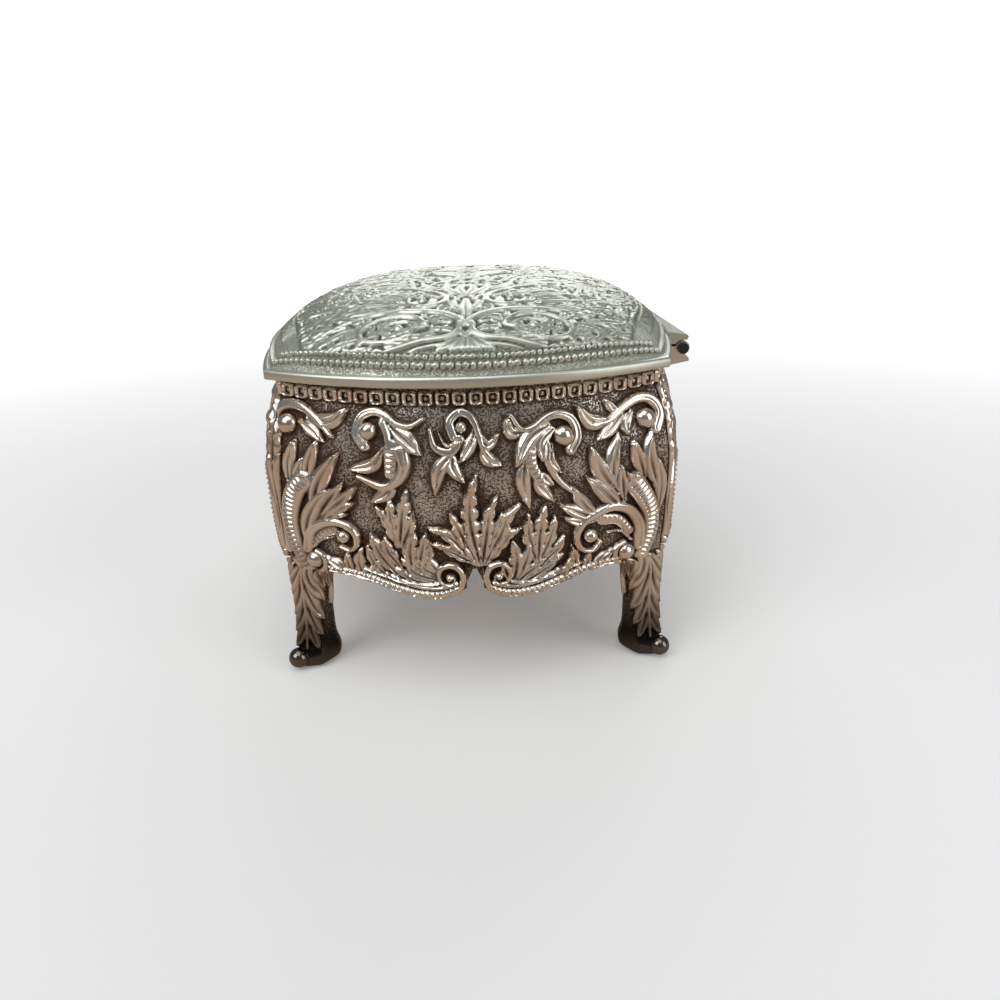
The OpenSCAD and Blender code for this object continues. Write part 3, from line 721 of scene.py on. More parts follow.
def apron_places(d, half):
    """Where the lobe of an apron hangs lowest, and where its arm springs from the leg."""
    return d.lobe_x * half / d.wall_x, half * (1 - d.knee_width / (half + d.spread))


def wall_surface(d, on_end, s, v, inset):
    """Points of a wall at shares s along it and v down it, with their depth below the rim."""
    half = d.wall_x if on_end else d.wall_y
    low_z = d.wall_z0 + apron(d, np.abs(s) * half, *apron_places(d, half))
    drop = v * (d.wall_z1 - low_z)
    out = swell(d, np.minimum(drop, d.wall_height)) - inset
    x, y = (end_plan if on_end else side_plan)(d, s, out)
    return np.stack([x, y, d.wall_z1 - drop], -1), drop


def panel_relief(d, across, down, extra, behind_hinge):
    """Ornament of a wall: cups under the rim, the groups of strokes, and the apron bands."""
    r = Relief(across, down)
    half = float(np.abs(across).max())
    cups = round(2 * half / CUP_PITCH)
    pitch = 2 * half / cups
    for k in range(cups):
        r.stroke("cup", pitch * CUP_SHARE, CUP_HEIGHT, [(-half + (k + 0.5) * pitch, CUP_DROP)])
    for group, share in PANEL_GROUPS:
        r.draw(group, shift=share * extra - PANEL_MIDDLE)
    low_x, spring_x = apron_places(d, half - d.spread)
    start = d.notch_width + BAND_START
    for side in (-1, 1):
        for kind, width, height, gap, share in APRON_BANDS:
            a = np.linspace(start, start + share * (spring_x + BAND_END - start), 25)
            edge = d.wall_height - apron(d, a, low_x, spring_x)
            r.stroke(kind, width, height, np.column_stack([side * a, edge - gap]))
        r.draw(VOLUTE, flip=(side, 1))
    if extra > 0:
        r.draw(SIDE_FILL)
    if behind_hinge:
        away = np.maximum(np.abs(across) - d.hinge_length / 2, down - HINGE_GROUND)
        r.height *= np.clip(away / HINGE_GROUND_EDGE, 0, 1)
    return r.height


def make_wall(name, node, on_end, turn, material):
    """A cast wall with its relief, closed at the back."""
    d = dims()
    half = d.wall_x if on_end else d.wall_y
    cell = grid_cell(d.cell)
    columns = int(2 * (half + d.belly) / cell)
    rows = int((d.wall_height + d.lobe_drop) / cell)
    trim = (half - d.seam) / half
    s, v = np.meshgrid(np.linspace(-trim, trim, columns), np.linspace(0, 1, rows))
    base, drop = wall_surface(d, on_end, s, v, d.ground_depth)
    reach = half + d.spread
    # The panel reads from left to right on all four sides
    across = s * reach * turn[0 if on_end else 1]
    height = panel_relief(d, across, drop, half - d.wall_x, node == "back_wall")
    fade = np.clip((reach - np.abs(across)) / CORNER_FADE, 0, 1)
    height = height * fade * np.clip(drop / RIM_FADE, 0, 1)
    normal = grid_normals(base)
    if normal[rows // 2, columns // 2, 1 if on_end else 0] > 0:
        normal = -normal
    s, v = np.meshgrid(np.linspace(-trim, trim, 41), np.linspace(0, 1, 17))
    inner, _ = wall_surface(d, on_end, s, v, d.wall_thickness)
    values = relief_values(height, cell)
    obj = closed_skin(name, d, base + normal * height[..., None], inner, turn, values)
    place(obj, "case", node, material)


# Legs

LEG_CELL = 0.3
LEG_GIRTH = 44

# Section of a leg below its arch, as shares of the ankle width: the width of each face, the
# fall of the inner flanks and the inner corner; the depth is a share of the face
ANKLE_FACE = 0.58
ANKLE_FALL = 0.4
ANKLE_INNER = 0.84
ANKLE_DEPTH = 1.55

# Shares of the sides that are cut off at each corner, cut by cut
CORNER_CUTS = (0.13, 0.25, 0.25, 0.25)

# The foot swells up to its top and draws in again below its edge
FOOT_SWELL = 0.9
FOOT_TOP = 2.6
FOOT_TUCK = 1.1
FOOT_EDGE = 1.6

# The ball of a foot: how far in it sits, as a share of its radius, how far it stands off the
# floor, and its values for the finish
BALL_INSET = 0.12
BALL_RISE = 0.6
BALL_VALUES = {"relief": 1.0, "cavity": 0.3}


def leg_section(d, u):
    """Section of a leg at a share of its height from the knee, as offsets from the corner."""
    arch = max(0.0, 1 - u * d.leg_height / d.arch_height)
    opening = 1 - math.sqrt(1 - arch * arch)
    narrow = d.ankle_width * ANKLE_FACE
    deep = narrow * ANKLE_DEPTH
    face = narrow + (d.knee_width - narrow) * opening
    back = deep + (d.knee_width - deep) * opening
    # The bow of the walls fades from the knee down
    lead = (0.25 + 0.75 * arch) * (1 - 0.9 * u)
    end_out = d.end_bow * (1 - (1 - face / (d.wall_x + d.spread)) ** 2) * lead
    side_out = d.side_bow * (1 - (1 - face / (d.wall_y + d.spread)) ** 2) * lead
    fall = d.ankle_width * ANKLE_FALL
    inner = d.ankle_width * ANKLE_INNER
    ankle = 0.4 * d.leg_tuck * math.sin(math.pi * min(1, u * 1.1)) - d.foot_kick * u
    return np.array([
        [ankle, ankle],
        [face + ankle * 0.5, ankle * 0.7 - end_out],
        [back, fall - end_out * 0.6],
        [inner, inner],
        [fall - side_out * 0.6, back],
        [ankle * 0.7 - side_out, face + ankle * 0.5],
    ])


def rounded(ring):
    """A ring of points with its corners cut again and again."""
    for cut in CORNER_CUTS:
        after = np.roll(ring, -1, axis=0)
        pair = np.stack([ring * (1 - cut) + after * cut, ring * cut + after * (1 - cut)], 1)
        ring = pair.reshape(-1, 2)
    return ring


def spaced(ring, count):
    """A closed ring as evenly spaced points from its outer corner, with the signed distance
    round from that corner."""
    start = (ring[0] + ring[-1]) / 2
    path = np.vstack([start, ring, start])
    arc = np.concatenate([[0], np.cumsum(np.hypot(*np.diff(path, axis=0).T))])
    at = np.linspace(0, arc[-1], count)
    points = np.column_stack([np.interp(at, arc, path[:, k]) for k in (0, 1)])
    return points, np.where(at < arc[-1] / 2, at, at - arc[-1])


def make_leg(name, node, turn, material):
    """A cabriole leg with leaves on its knee and a ball on its foot."""
    d = dims()
    cell = grid_cell(LEG_CELL)
    around = int(LEG_GIRTH / cell)
    shares = np.linspace(0, 1, int(d.leg_height / cell))
    sections = [spaced(rounded(leg_section(d, u)), around) for u in shares]
    plan = np.array([points for points, _ in sections])
    away = np.array([distance for _, distance in sections])
    heights = np.repeat(((d.wall_z0 - d.seam) * (1 - shares))[:, None], around, 1)
    corner = np.array([d.wall_x, d.wall_y])
    base = np.dstack([plan - corner - d.spread, heights])
    r = Relief(np.abs(away), np.repeat((shares * d.leg_height)[:, None], around, 1))
    r.draw(LEG_HALF)
    # The leaves fade at the seam and above the foot, which swells and draws in at the floor
    above = d.leg_height - r.y
    foot = FOOT_SWELL * np.exp(-(((above - FOOT_TOP) / FOOT_TOP) ** 2))
    foot -= FOOT_TUCK * np.clip(1 - above / FOOT_EDGE, 0, 1) ** 2
    leaves = r.height * np.clip((r.y - 0.1) / 0.6, 0, 1) * np.clip((above - 4) / 2, 0, 1)
    height = np.where(above < FOOT_EDGE, foot, np.maximum(leaves, foot))
    normal = grid_normals(base)
    if ((base - base.mean(axis=1, keepdims=True)) * normal).sum() < 0:
        normal = -normal
    normal[..., 2] = 0
    outer = base + unit(normal) * (height - 0.1 * np.clip(r.y, 0, 1))[..., None]
    bm = bmesh.new()
    add_grid(bm, in_frame(d, outer, turn))
    values = relief_values(height, cell)
    layers = {key: bm.verts.layers.float.new(key) for key in values}
    for key, field in values.items():
        for v, value in zip(bm.verts, field.ravel()):
            v[layers[key]] = value
    bmesh.ops.remove_doubles(bm, verts=bm.verts, dist=0.00001)
    bmesh.ops.holes_fill(bm, edges=[e for e in bm.edges if e.is_boundary], sides=0)
    out = d.spread + d.foot_kick - d.foot_ball * BALL_INSET
    centre = np.array([*(-corner - out), d.foot_ball + BALL_RISE])
    ball = bmesh.ops.create_uvsphere(
        bm, u_segments=32, v_segments=20, radius=d.foot_ball * MM,
        matrix=Matrix.Translation(in_frame(d, centre, turn)),
    )
    for v in ball["verts"]:
        for key, value in BALL_VALUES.items():
            v[layers[key]] = value
    place(finish_piece(name, bm), "case", node, material)


# Lid

LID_CELL = 0.37

# How square the dome is across and along, and how full its shoulder
DOME_X_POWER = 2.9
DOME_Y_POWER = 3.3
DOME_SHOULDER = 0.64

# Section of the rim band: how far in from the rim, and how high above the foot of the lid; the
# dome starts inside it
BAND_SECTION = [(0.35, 0.0), (0.08, 0.12), (0.0, 0.4), (0.0, 1.0), (0.0, 1.6), (0.1, 2.0),
                (0.45, 2.25), (1.0, 2.32), (1.15, 2.2)]
BAND_VALUES = {"relief": 1.0, "cavity": 0.25}
DOME_INSET = 1.3

QUARTERS = ((-1, -1), (-1, 1), (1, -1), (1, 1))

# Small leaves between the scrolls: how far across and along, how far apart, and the mean height
# of relief from which a place is already full
FILL_REACH = (44, 58)
FILL_STEP = 1.9
FILL_LIMIT = 0.42

# Border: widths of the bead rows and of the ribs inside them on the long sides, then its rows
# with kind, half width, height and distance in from the rim, and share of the side's length
BEAD_BAND = 4.2
RIB_BAND = 4.4
END_BORDER = (("beads", 0.68, 0.9, 2.2), ("beads", 0.62, 0.9, 3.4))
SIDE_BORDER = (("beads", 0.68, 0.9, 2.1, 1.0), ("comb", 1.8, 0.5, 5.0, 0.95),
               ("beads", 0.6, 0.8, 7.6, 1.0))


def dome(u, v):
    """Height of the dome over its plan, from 1 in the middle to 0 at the rim."""
    across = np.clip(1 - np.abs(u) ** DOME_X_POWER, 0, 1)
    along = np.clip(1 - np.abs(v) ** DOME_Y_POWER, 0, 1)
    return (across * along) ** DOME_SHOULDER


def lid_plan(d, u, v, inset):
    """Plan of the lid, u and v from -1 to 1 across and along it."""
    x = u * (d.rim_x - inset + d.side_bow * (1 - v * v))
    return x, v * (d.rim_y - inset + d.end_bow * (1 - u * u))


def closing(count):
    """Shares from -1 to 1 that draw closer towards both ends."""
    return np.sin(np.linspace(-1, 1, count) * math.pi / 2)


def ring_depth(rows, columns, rings):
    """How many rings in from the edge of a grid each point lies, up to a limit."""
    i, j = np.meshgrid(np.arange(rows), np.arange(columns), indexing="ij")
    return np.minimum.reduce([i, rows - 1 - i, j, columns - 1 - j, np.full(i.shape, rings)])


def outer_dome(d, rows, columns):
    """The grid of the lid with its rim band, and which of its points lie on the dome."""
    rings = len(BAND_SECTION)
    shares = []
    for count in (columns, rows):
        inside = count - 2 * rings
        share = 0.55 * closing(inside) + 0.45 * np.linspace(-1, 1, inside)
        shares.append(np.concatenate([np.full(rings, -1.0), share, np.full(rings, 1.0)]))
    u, v = np.meshgrid(*shares)
    depth = ring_depth(rows, columns, rings)
    section = np.array(BAND_SECTION + [(DOME_INSET, d.band_height - d.ground_depth)])
    x, y = lid_plan(d, u, v, section[depth, 0])
    z = d.lid_z + section[depth, 1] + d.dome_rise * dome(u, v) * (depth == rings)
    return np.stack([x, y, z], -1), depth == rings


def inner_dome(d, count, inset, rise, foot_z):
    """A plain grid of the dome, with its foot as the outermost ring."""
    share = np.concatenate([[-1.0], closing(count), [1.0]])
    u, v = np.meshgrid(share, share)
    foot = ring_depth(count + 2, count + 2, 1) == 0
    x, y = lid_plan(d, u, v, inset)
    return np.stack([x, y, np.where(foot, foot_z, d.dome_z + rise * dome(u, v))], -1)


def fill_leaves(r):
    """Small leaves in the open spaces of one quarter of the lid, repeated on the other three."""
    draw = random.Random(7)
    columns, rows = (int(reach / FILL_STEP) for reach in FILL_REACH)
    for i in range(columns):
        for j in range(rows):
            x = (i + draw.random()) * FILL_STEP
            y = (j + draw.random()) * FILL_STEP
            turn = 0.09 * x - 0.13 * y + draw.uniform(-0.5, 0.5)
            size = draw.uniform(1.3, 2.4)
            mask = r.near(np.array([[x, y]]), 0.8)
            if not mask.any() or r.height[mask].mean() > FILL_LIMIT:
                continue
            bends = [(k, turn + 0.35 * k) for k in (-1, 0, 1)]
            path = [(x + size * k * math.cos(a), y + size * k * math.sin(a)) for k, a in bends]
            for flip in QUARTERS:
                r.stroke("leaf", 0.95, 0.9, np.array(path) * flip)


def lid_border(r, d):
    """Rows of beads round the lid, with a band of ribs between them on the long sides."""
    t = np.linspace(-1, 1, 61)
    from_side = d.rim_x + d.side_bow * (1 - (r.y / d.rim_y) ** 2) - np.abs(r.x)
    from_end = d.rim_y + d.end_bow * (1 - (r.x / d.rim_x) ** 2) - np.abs(r.y)
    inside = np.minimum(from_end, from_side - RIB_BAND) - BEAD_BAND
    r.height *= np.clip(inside / 0.6, 0, 1)
    for side in (-1, 1):
        for kind, width, height, inset in END_BORDER:
            x, y = lid_plan(d, t, 1.0, inset)
            r.stroke(kind, width, height, np.column_stack([x, side * y]))
        for kind, width, height, inset, share in SIDE_BORDER:
            x, y = lid_plan(d, 1.0, t, inset)
            r.stroke(kind, width, height, np.column_stack([side * x, y * share]))


def make_lid(material):
    """The domed lid with its bead border and scroll field, closed underneath."""
    d = dims()
    cell = grid_cell(LID_CELL)
    columns = int(2 * (d.rim_x + d.side_bow) / cell)
    rows = int(2 * (d.rim_y + d.end_bow) / cell)
    base, field = outer_dome(d, rows, columns)
    r = Relief(base[..., 0], base[..., 1])
    for flip in QUARTERS:
        r.draw(LID_QUARTER, flip)
    fill_leaves(r)
    lid_border(r, d)
    rings_in = ring_depth(rows, columns, rows) - len(BAND_SECTION)
    height = r.height * field * np.clip(rings_in / 2, 0, 1)
    normal = grid_normals(base)
    normal *= np.sign(normal[rows // 2, columns // 2, 2])
    inner = inner_dome(d, 41, d.land, d.dome_rise - d.lid_thickness, d.lid_z)
    values = relief_values(height, cell)
    for key, plain in BAND_VALUES.items():
        values[key] = np.where(field, values[key], plain)
    outer = base + normal * height[..., None]
    obj = closed_skin("lid_dome", d, outer, inner, values=values)
    place(obj, "lid", "lid_shell", material)


# Velvet linings


def pillow(s, v, edge=0.08):
    """Fullness of a padded piece: 0 at its edges, 1 inside."""
    a = np.clip((1 - np.abs(s)) / edge, 0, 1)
    b = np.clip(np.minimum(v, 1 - v) * 2 / edge, 0, 1)
    return np.sqrt(np.clip(1 - (1 - a) ** 2, 0, 1) * np.clip(1 - (1 - b) ** 2, 0, 1))


def make_wall_lining(name, node, on_end, turn, material):
    """A velvet lining that follows the inside of a wall."""
    d = dims()
    half = d.wall_x if on_end else d.wall_y
    behind = d.wall_thickness + d.lining_gap
    trim = (half - behind - d.lining_gap) / (half - behind)
    low_drop = d.wall_z1 - d.plate_z1 - d.lining_gap
    plan = end_plan if on_end else side_plan

    def face(columns, rows, extra):
        s, v = np.meshgrid(np.linspace(-trim, trim, columns), np.linspace(0, 1, rows))
        drop = d.lining_drop + (low_drop - d.lining_drop) * v
        thick = extra * (0.45 + 0.55 * pillow(s / trim, v))
        x, y = plan(d, s, swell(d, drop) - behind - thick)
        return np.stack([x, y, d.wall_z1 - drop], -1)

    obj = closed_skin(name, d, face(97, 41, d.lining_thickness), face(33, 17, 0.0), turn)
    place(obj, "case", node, material)


def make_floor_pad(material):
    """The padded velvet floor of the case."""
    d = dims()
    inset = d.wall_thickness + 3 * d.lining_gap + d.lining_thickness
    out = float(swell(d, np.array(d.wall_z1 - d.plate_z1))) - inset
    floor_z = d.plate_z1 + d.lining_gap

    def face(columns, rows, thickness):
        s, t = np.meshgrid(np.linspace(-1, 1, columns), np.linspace(-1, 1, rows))
        x = s * (d.wall_x + out + d.side_bow * (1 - t * t))
        y = t * (d.wall_y + out + d.end_bow * (1 - s * s))
        z = floor_z + thickness * (0.35 + 0.65 * pillow(s, (t + 1) / 2, 0.1))
        return np.stack([x, y, z], -1)

    obj = closed_skin("floor_pad", d, face(97, 121, d.pad_thickness), face(33, 33, 0.0))
    place(obj, "case", "floor_lining", material)


def make_lid_lining(material):
    """The velvet lining of the dome."""
    d = dims()
    inset = d.land + d.lining_gap
    rise = d.dome_rise - d.lid_thickness - 2 * d.lining_gap
    faces = [
        inner_dome(d, 57, inset + depth, rise - depth, d.lid_z + d.lining_gap)
        for depth in (0.0, d.lining_thickness)
    ]
    obj = closed_skin("lid_lining_velvet", d, *faces)
    place(obj, "lid", "lid_lining", material)


# Finishes

# Height of the darkening towards the feet on pieces that have none
NO_FOOT_DARKENING = 0.001


class Nodes:
    """Short ways to add linked nodes to a node tree."""

    def __init__(self, tree):
        self.tree = tree

    def add(self, kind, **settings):
        node = self.tree.nodes.new(kind)
        for key, value in settings.items():
            setattr(node, key, value)
        return node

    def feed(self, target, source):
        """Sets a socket to a value or links it to another socket."""
        if isinstance(source, bpy.types.NodeSocket):
            self.tree.links.new(source, target)
        else:
            target.default_value = source

    def fed(self, node, sources, output=0):
        """Feeds the first inputs of a node and gives one of its outputs."""
        for target, source in zip(node.inputs, sources):
            self.feed(target, source)
        return node.outputs[output]

    def math(self, operation, *values, clamp=False):
        return self.fed(self.add("ShaderNodeMath", operation=operation, use_clamp=clamp), values)

    def times(self, first, second, clamp=False):
        return self.math("MULTIPLY", first, second, clamp=clamp)

    def plus(self, first, second, clamp=False):
        return self.math("ADD", first, second, clamp=clamp)

    def ramp(self, value, low, high, to_low=0.0, to_high=1.0):
        node = self.add("ShaderNodeMapRange", interpolation_type="SMOOTHSTEP")
        return self.fed(node, (value, low, high, to_low, to_high))

    def mix(self, share, first, second, blend="MIX"):
        node = self.add("ShaderNodeMix", data_type="RGBA", blend_type=blend)
        self.feed(node.inputs["Factor"], share)
        self.feed(node.inputs[6], first)
        self.feed(node.inputs[7], second)
        return node.outputs[2]

    def noise(self, where, scale, detail):
        node = self.add("ShaderNodeTexNoise")
        for key, source in (("Vector", where), ("Scale", scale), ("Detail", detail)):
            self.feed(node.inputs[key], source)
        return node.outputs[0]


def new_group(name, inputs, outputs):
    """A node group with its inputs and outputs; a default of four numbers is a colour."""
    tree = bpy.data.node_groups.new(name, "ShaderNodeTree")
    for label, default in inputs.items():
        kind = "NodeSocketFloat" if isinstance(default, float) else "NodeSocketColor"
        item = tree.interface.new_socket(name=label, in_out="INPUT", socket_type=kind)
        item.default_value = default
    for label in outputs:
        kind = "NodeSocketColor" if label == "Color" else "NodeSocketFloat"
        tree.interface.new_socket(name=label, in_out="OUTPUT", socket_type=kind)
    n = Nodes(tree)
    given = n.add("NodeGroupInput").outputs
    return n, given, n.add("NodeGroupOutput").inputs


def antique_group(name):
    """Antiqued casting: bright high parts, patina in the recesses, and a stippled ground."""
    inputs = {
        "Metal": (0.8, 0.8, 0.8, 1), "Recess": (0.1, 0.1, 0.1, 1),
        "Foot darkening": (0.02, 0.02, 0.02, 1), "Tone": (0.6, 0.4, 0.3, 1),
        "Toning and reflection": 0.5, "Patina": 0.8, "Foot darkening height": 0.02, "Stipple": 1.0, "Polish": 0.25,
    }
    n, given, out = new_group(name, inputs, ("Color", "Roughness", "Height"))
    where = n.add("ShaderNodeTexCoord").outputs["Object"]
    cavity = n.add("ShaderNodeAttribute", attribute_name="cavity").outputs["Fac"]
    relief = n.add("ShaderNodeAttribute", attribute_name="relief").outputs["Fac"]
    cloud = n.noise(where, 90.0, 4.0)
    grain = n.noise(where, 1400.0, 2.0)
    pit = n.ramp(n.noise(where, 2400.0, 1.5), 0.4, 0.56, 1.0, 0.0)
    ground = n.times(n.ramp(relief, 0.05, 0.35, 1.0, 0.0), given["Stipple"])
    pits = n.times(pit, ground)
    # Patina lies in the recesses, in the pits, and in cloudy patches
    deep = n.ramp(cavity, -0.34, 0.15, 1.0, 0.0)
    patches = n.times(n.math("SUBTRACT", cloud, 0.5), 0.5)
    dirt = n.plus(n.plus(deep, n.times(pits, 0.62)), patches, clamp=True)
    dirt = n.times(dirt, given["Patina"], clamp=True)
    # Coppery cloudy patches: partly real toning, partly a painted warm reflection of the floor
    toning_and_reflection = n.times(n.ramp(cloud, 0.4, 0.62), given["Toning and reflection"])
    aged = n.mix(dirt, n.mix(toning_and_reflection, given["Metal"], given["Tone"]), given["Recess"])
    # The colour darkens from the feet up, less on raised parts
    split = n.add("ShaderNodeSeparateXYZ")
    n.feed(split.inputs[0], where)
    top = given["Foot darkening height"]
    foot = n.ramp(split.outputs["Z"], n.times(top, 0.2), top, 1.0, 0.0)
    foot = n.times(foot, n.ramp(cavity, -0.2, 0.7, 1.0, 0.65))
    n.feed(out["Color"], n.mix(foot, aged, given["Foot darkening"]))
    # The patina is duller than the metal, and the darkened feet are polished by use
    rough = n.plus(given["Polish"], n.times(dirt, 0.38))
    rough = n.plus(rough, n.times(n.math("SUBTRACT", grain, 0.5), 0.2), clamp=True)
    n.feed(out["Roughness"], n.times(rough, n.ramp(foot, 0.3, 0.9, 1.0, 0.5)))
    n.feed(out["Height"], n.plus(n.times(pits, -0.32), n.times(grain, 0.03)))
    return n.tree


def pile_group(name):
    """Velvet pile: soft patches of nap and fine fibres."""
    inputs = {"Cloth": (0.3, 0.02, 0.05, 1), "Nap": 0.5}
    n, given, out = new_group(name, inputs, ("Color", "Height"))
    where = n.add("ShaderNodeTexCoord").outputs["Object"]
    nap = n.noise(where, 130.0, 3.0)
    fibre = n.noise(where, 3500.0, 1.0)
    shade = n.times(n.ramp(nap, 0.35, 0.65), given["Nap"])
    dark = n.mix(1.0, given["Cloth"], (0.35, 0.35, 0.35, 1), "MULTIPLY")
    n.feed(out["Color"], n.mix(shade, given["Cloth"], dark))
    n.feed(out["Height"], n.times(fibre, 0.08))
    return n.tree


def material_named(name, group, build, values, **constants):
    """A Principled material fed by a shared group through a Bump node; both are built once."""
    if name in bpy.data.materials:
        return bpy.data.materials[name]
    mat = bpy.data.materials.new(name)
    mat.use_nodes = True
    n = Nodes(mat.node_tree)
    shader = mat.node_tree.nodes["Principled BSDF"]
    shared = bpy.data.node_groups.get(group) or build(group)
    effect = n.add("ShaderNodeGroup", node_tree=shared)
    for key, value in values.items():
        n.feed(effect.inputs[key], value)
    n.feed(shader.inputs["Base Color"], effect.outputs["Color"])
    if "Roughness" in effect.outputs:
        n.feed(shader.inputs["Roughness"], effect.outputs["Roughness"])
    bump = n.add("ShaderNodeBump")
    n.feed(bump.inputs["Height"], effect.outputs["Height"])
    bump.inputs["Distance"].default_value = MM
    n.feed(shader.inputs["Normal"], bump.outputs["Normal"])
    for key, value in constants.items():
        shader.inputs[key.replace("_", " ")].default_value = value
    return mat


def rgba(values):
    """A colour with full cover."""
    return (*values, 1.0)


def silver(name, metal, recess, settings):
    """Cast metal with patina, without coppery patches unless the settings bring them; these
    patches are partly toning and partly a painted warm reflection.
    """
    near_black = rgba(bpy.context.scene.rosary_box_colours.near_black)
    values = {"Metal": rgba(metal), "Recess": rgba(recess), "Foot darkening": near_black,
              "Tone": rgba(metal), "Toning and reflection": 0.0, **settings}
    return material_named(name, "Antique casting", antique_group, values, Metallic=1.0)


def case_silver():
    """Antiqued silver of the case."""
    c = bpy.context.scene.rosary_box_colours
    # The coppery patches are partly a painted warm reflection of the floor
    return silver("antique_silver", c.case_metal, c.case_recess, {
        "Tone": rgba(c.toned_metal_and_reflection), "Toning and reflection": 0.35, "Patina": 0.95, "Foot darkening height": 0.024,
        "Stipple": 1.0, "Polish": 0.2})


def lid_silver():
    """Pale satin silver of the lid."""
    c = bpy.context.scene.rosary_box_colours
    return silver("satin_silver", c.lid_metal, c.lid_recess, {
        "Patina": 0.9, "Foot darkening height": NO_FOOT_DARKENING, "Stipple": 0.5, "Polish": 0.4})


def plain_silver(name, metal, recess, foot_darkening_height):
    """Cast metal without a stippled ground."""
    return silver(name, metal, recess, {
        "Patina": 0.6, "Foot darkening height": foot_darkening_height, "Stipple": 0.0, "Polish": 0.3})


def velvet():
    """Short-pile velvet."""
    cloth = rgba(bpy.context.scene.rosary_box_colours.velvet)
    return material_named(
        "velvet_pile", "Velvet pile", pile_group, {"Cloth": cloth, "Nap": 0.5},
        Metallic=0.0, Roughness=0.9, Sheen_Weight=0.6, Sheen_Roughness=0.4)


# Stage

# Name, place, target, size and power of each light, in metres and watts
LIGHTS = (
    ("key_light", (-0.5, -0.45, 0.55), (0, 0, 0.05), (0.5, 0.4), 1.8),
    ("fill_light", (0.6, -0.4, 0.3), (0, 0, 0.05), (0.4, 0.6), 1.3),
    ("top_light", (-0.15, -0.35, 1.1), (0, 0, 0.05), (1.1, 0.9), 4.6),
    ("back_light", (0.1, 0.6, 0.5), (0, 0, 0.06), (0.7, 0.3), 1.6),
)

# The camera of the photograph: its place from the middle of the box, its turns and its lens
CAMERA_SPOT = (0.0042, -0.2051, 0.1072)
CAMERA_PITCH = math.radians(22.47)
CAMERA_ROLL = math.radians(1.63)
CAMERA_YAW = math.radians(-0.71)
CAMERA_LENS = 26.28


# Operators


class ROSARYBOX_OT_end_walls(bpy.types.Operator):
    """Builds the two bowed end walls with their relief"""

    bl_idname = "rosary_box.end_walls"
    bl_label = "End walls"

    def execute(self, context):
        make_wall("right_end_relief", "right_end_wall", True, (1, 1), case_silver())
        make_wall("left_end_relief", "left_end_wall", True, (1, -1), case_silver())
        return {"FINISHED"}


class ROSARYBOX_OT_side_walls(bpy.types.Operator):
    """Builds the front and back walls with their relief"""

    bl_idname = "rosary_box.side_walls"
    bl_label = "Front and back walls"

    def execute(self, context):
        make_wall("front_relief", "front_wall", False, (1, 1), case_silver())
        make_wall("back_relief", "back_wall", False, (-1, 1), case_silver())
        return {"FINISHED"}


class ROSARYBOX_OT_legs(bpy.types.Operator):
    """Builds the four cabriole legs"""

    bl_idname = "rosary_box.legs"
    bl_label = "Legs"

    def execute(self, context):
        make_leg("front_right_leg", "leg_front_right", (1, 1), case_silver())
        make_leg("back_right_leg", "leg_back_right", (-1, 1), case_silver())
        make_leg("front_left_leg", "leg_front_left", (1, -1), case_silver())
        make_leg("back_left_leg", "leg_back_left", (-1, -1), case_silver())
        return {"FINISHED"}


class ROSARYBOX_OT_lid(bpy.types.Operator):
    """Builds the domed lid with its relief"""

    bl_idname = "rosary_box.lid"
    bl_label = "Lid"

    def execute(self, context):
        make_lid(lid_silver())
        return {"FINISHED"}


class ROSARYBOX_OT_hardware(bpy.types.Operator):
    """Finishes the base plate, the hinge leaves and the hinge pin"""

    bl_idname = "rosary_box.hardware"
    bl_label = "Base plate and hinge"

    def execute(self, context):
        c = context.scene.rosary_box_colours
        plain = plain_silver("plain_case_silver", c.case_metal, c.case_recess, 0.03)
        lid_plain = plain_silver("plain_lid_silver", c.lid_metal, c.lid_recess, NO_FOOT_DARKENING)
        steel = plain_silver("dark_steel", c.steel, c.near_black, NO_FOOT_DARKENING)
        self.finish("base_plate", plain, "case_silver")
        self.finish("case_hinge_leaf", plain, "case_silver")
        self.finish("lid_hinge_leaf", lid_plain, "lid_silver")
        self.finish("hinge_pin", steel, "pin_steel")
        return {"FINISHED"}

    def finish(self, node, material, slot):
        """Gives a cast piece its material; the slot is not used."""
        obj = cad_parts[node]
        obj.data.materials.clear()
        obj.data.materials.append(material)


class ROSARYBOX_OT_linings(bpy.types.Operator):
    """Builds the velvet linings of the case and the lid"""

    bl_idname = "rosary_box.linings"
    bl_label = "Linings"

    def execute(self, context):
        cloth = velvet()
        make_wall_lining("right_end_velvet", "right_end_lining", True, (1, 1), cloth)
        make_wall_lining("left_end_velvet", "left_end_lining", True, (1, -1), cloth)
        make_wall_lining("front_velvet", "front_lining", False, (1, 1), cloth)
        make_wall_lining("back_velvet", "back_lining", False, (-1, 1), cloth)
        make_floor_pad(cloth)
        make_lid_lining(cloth)
        return {"FINISHED"}


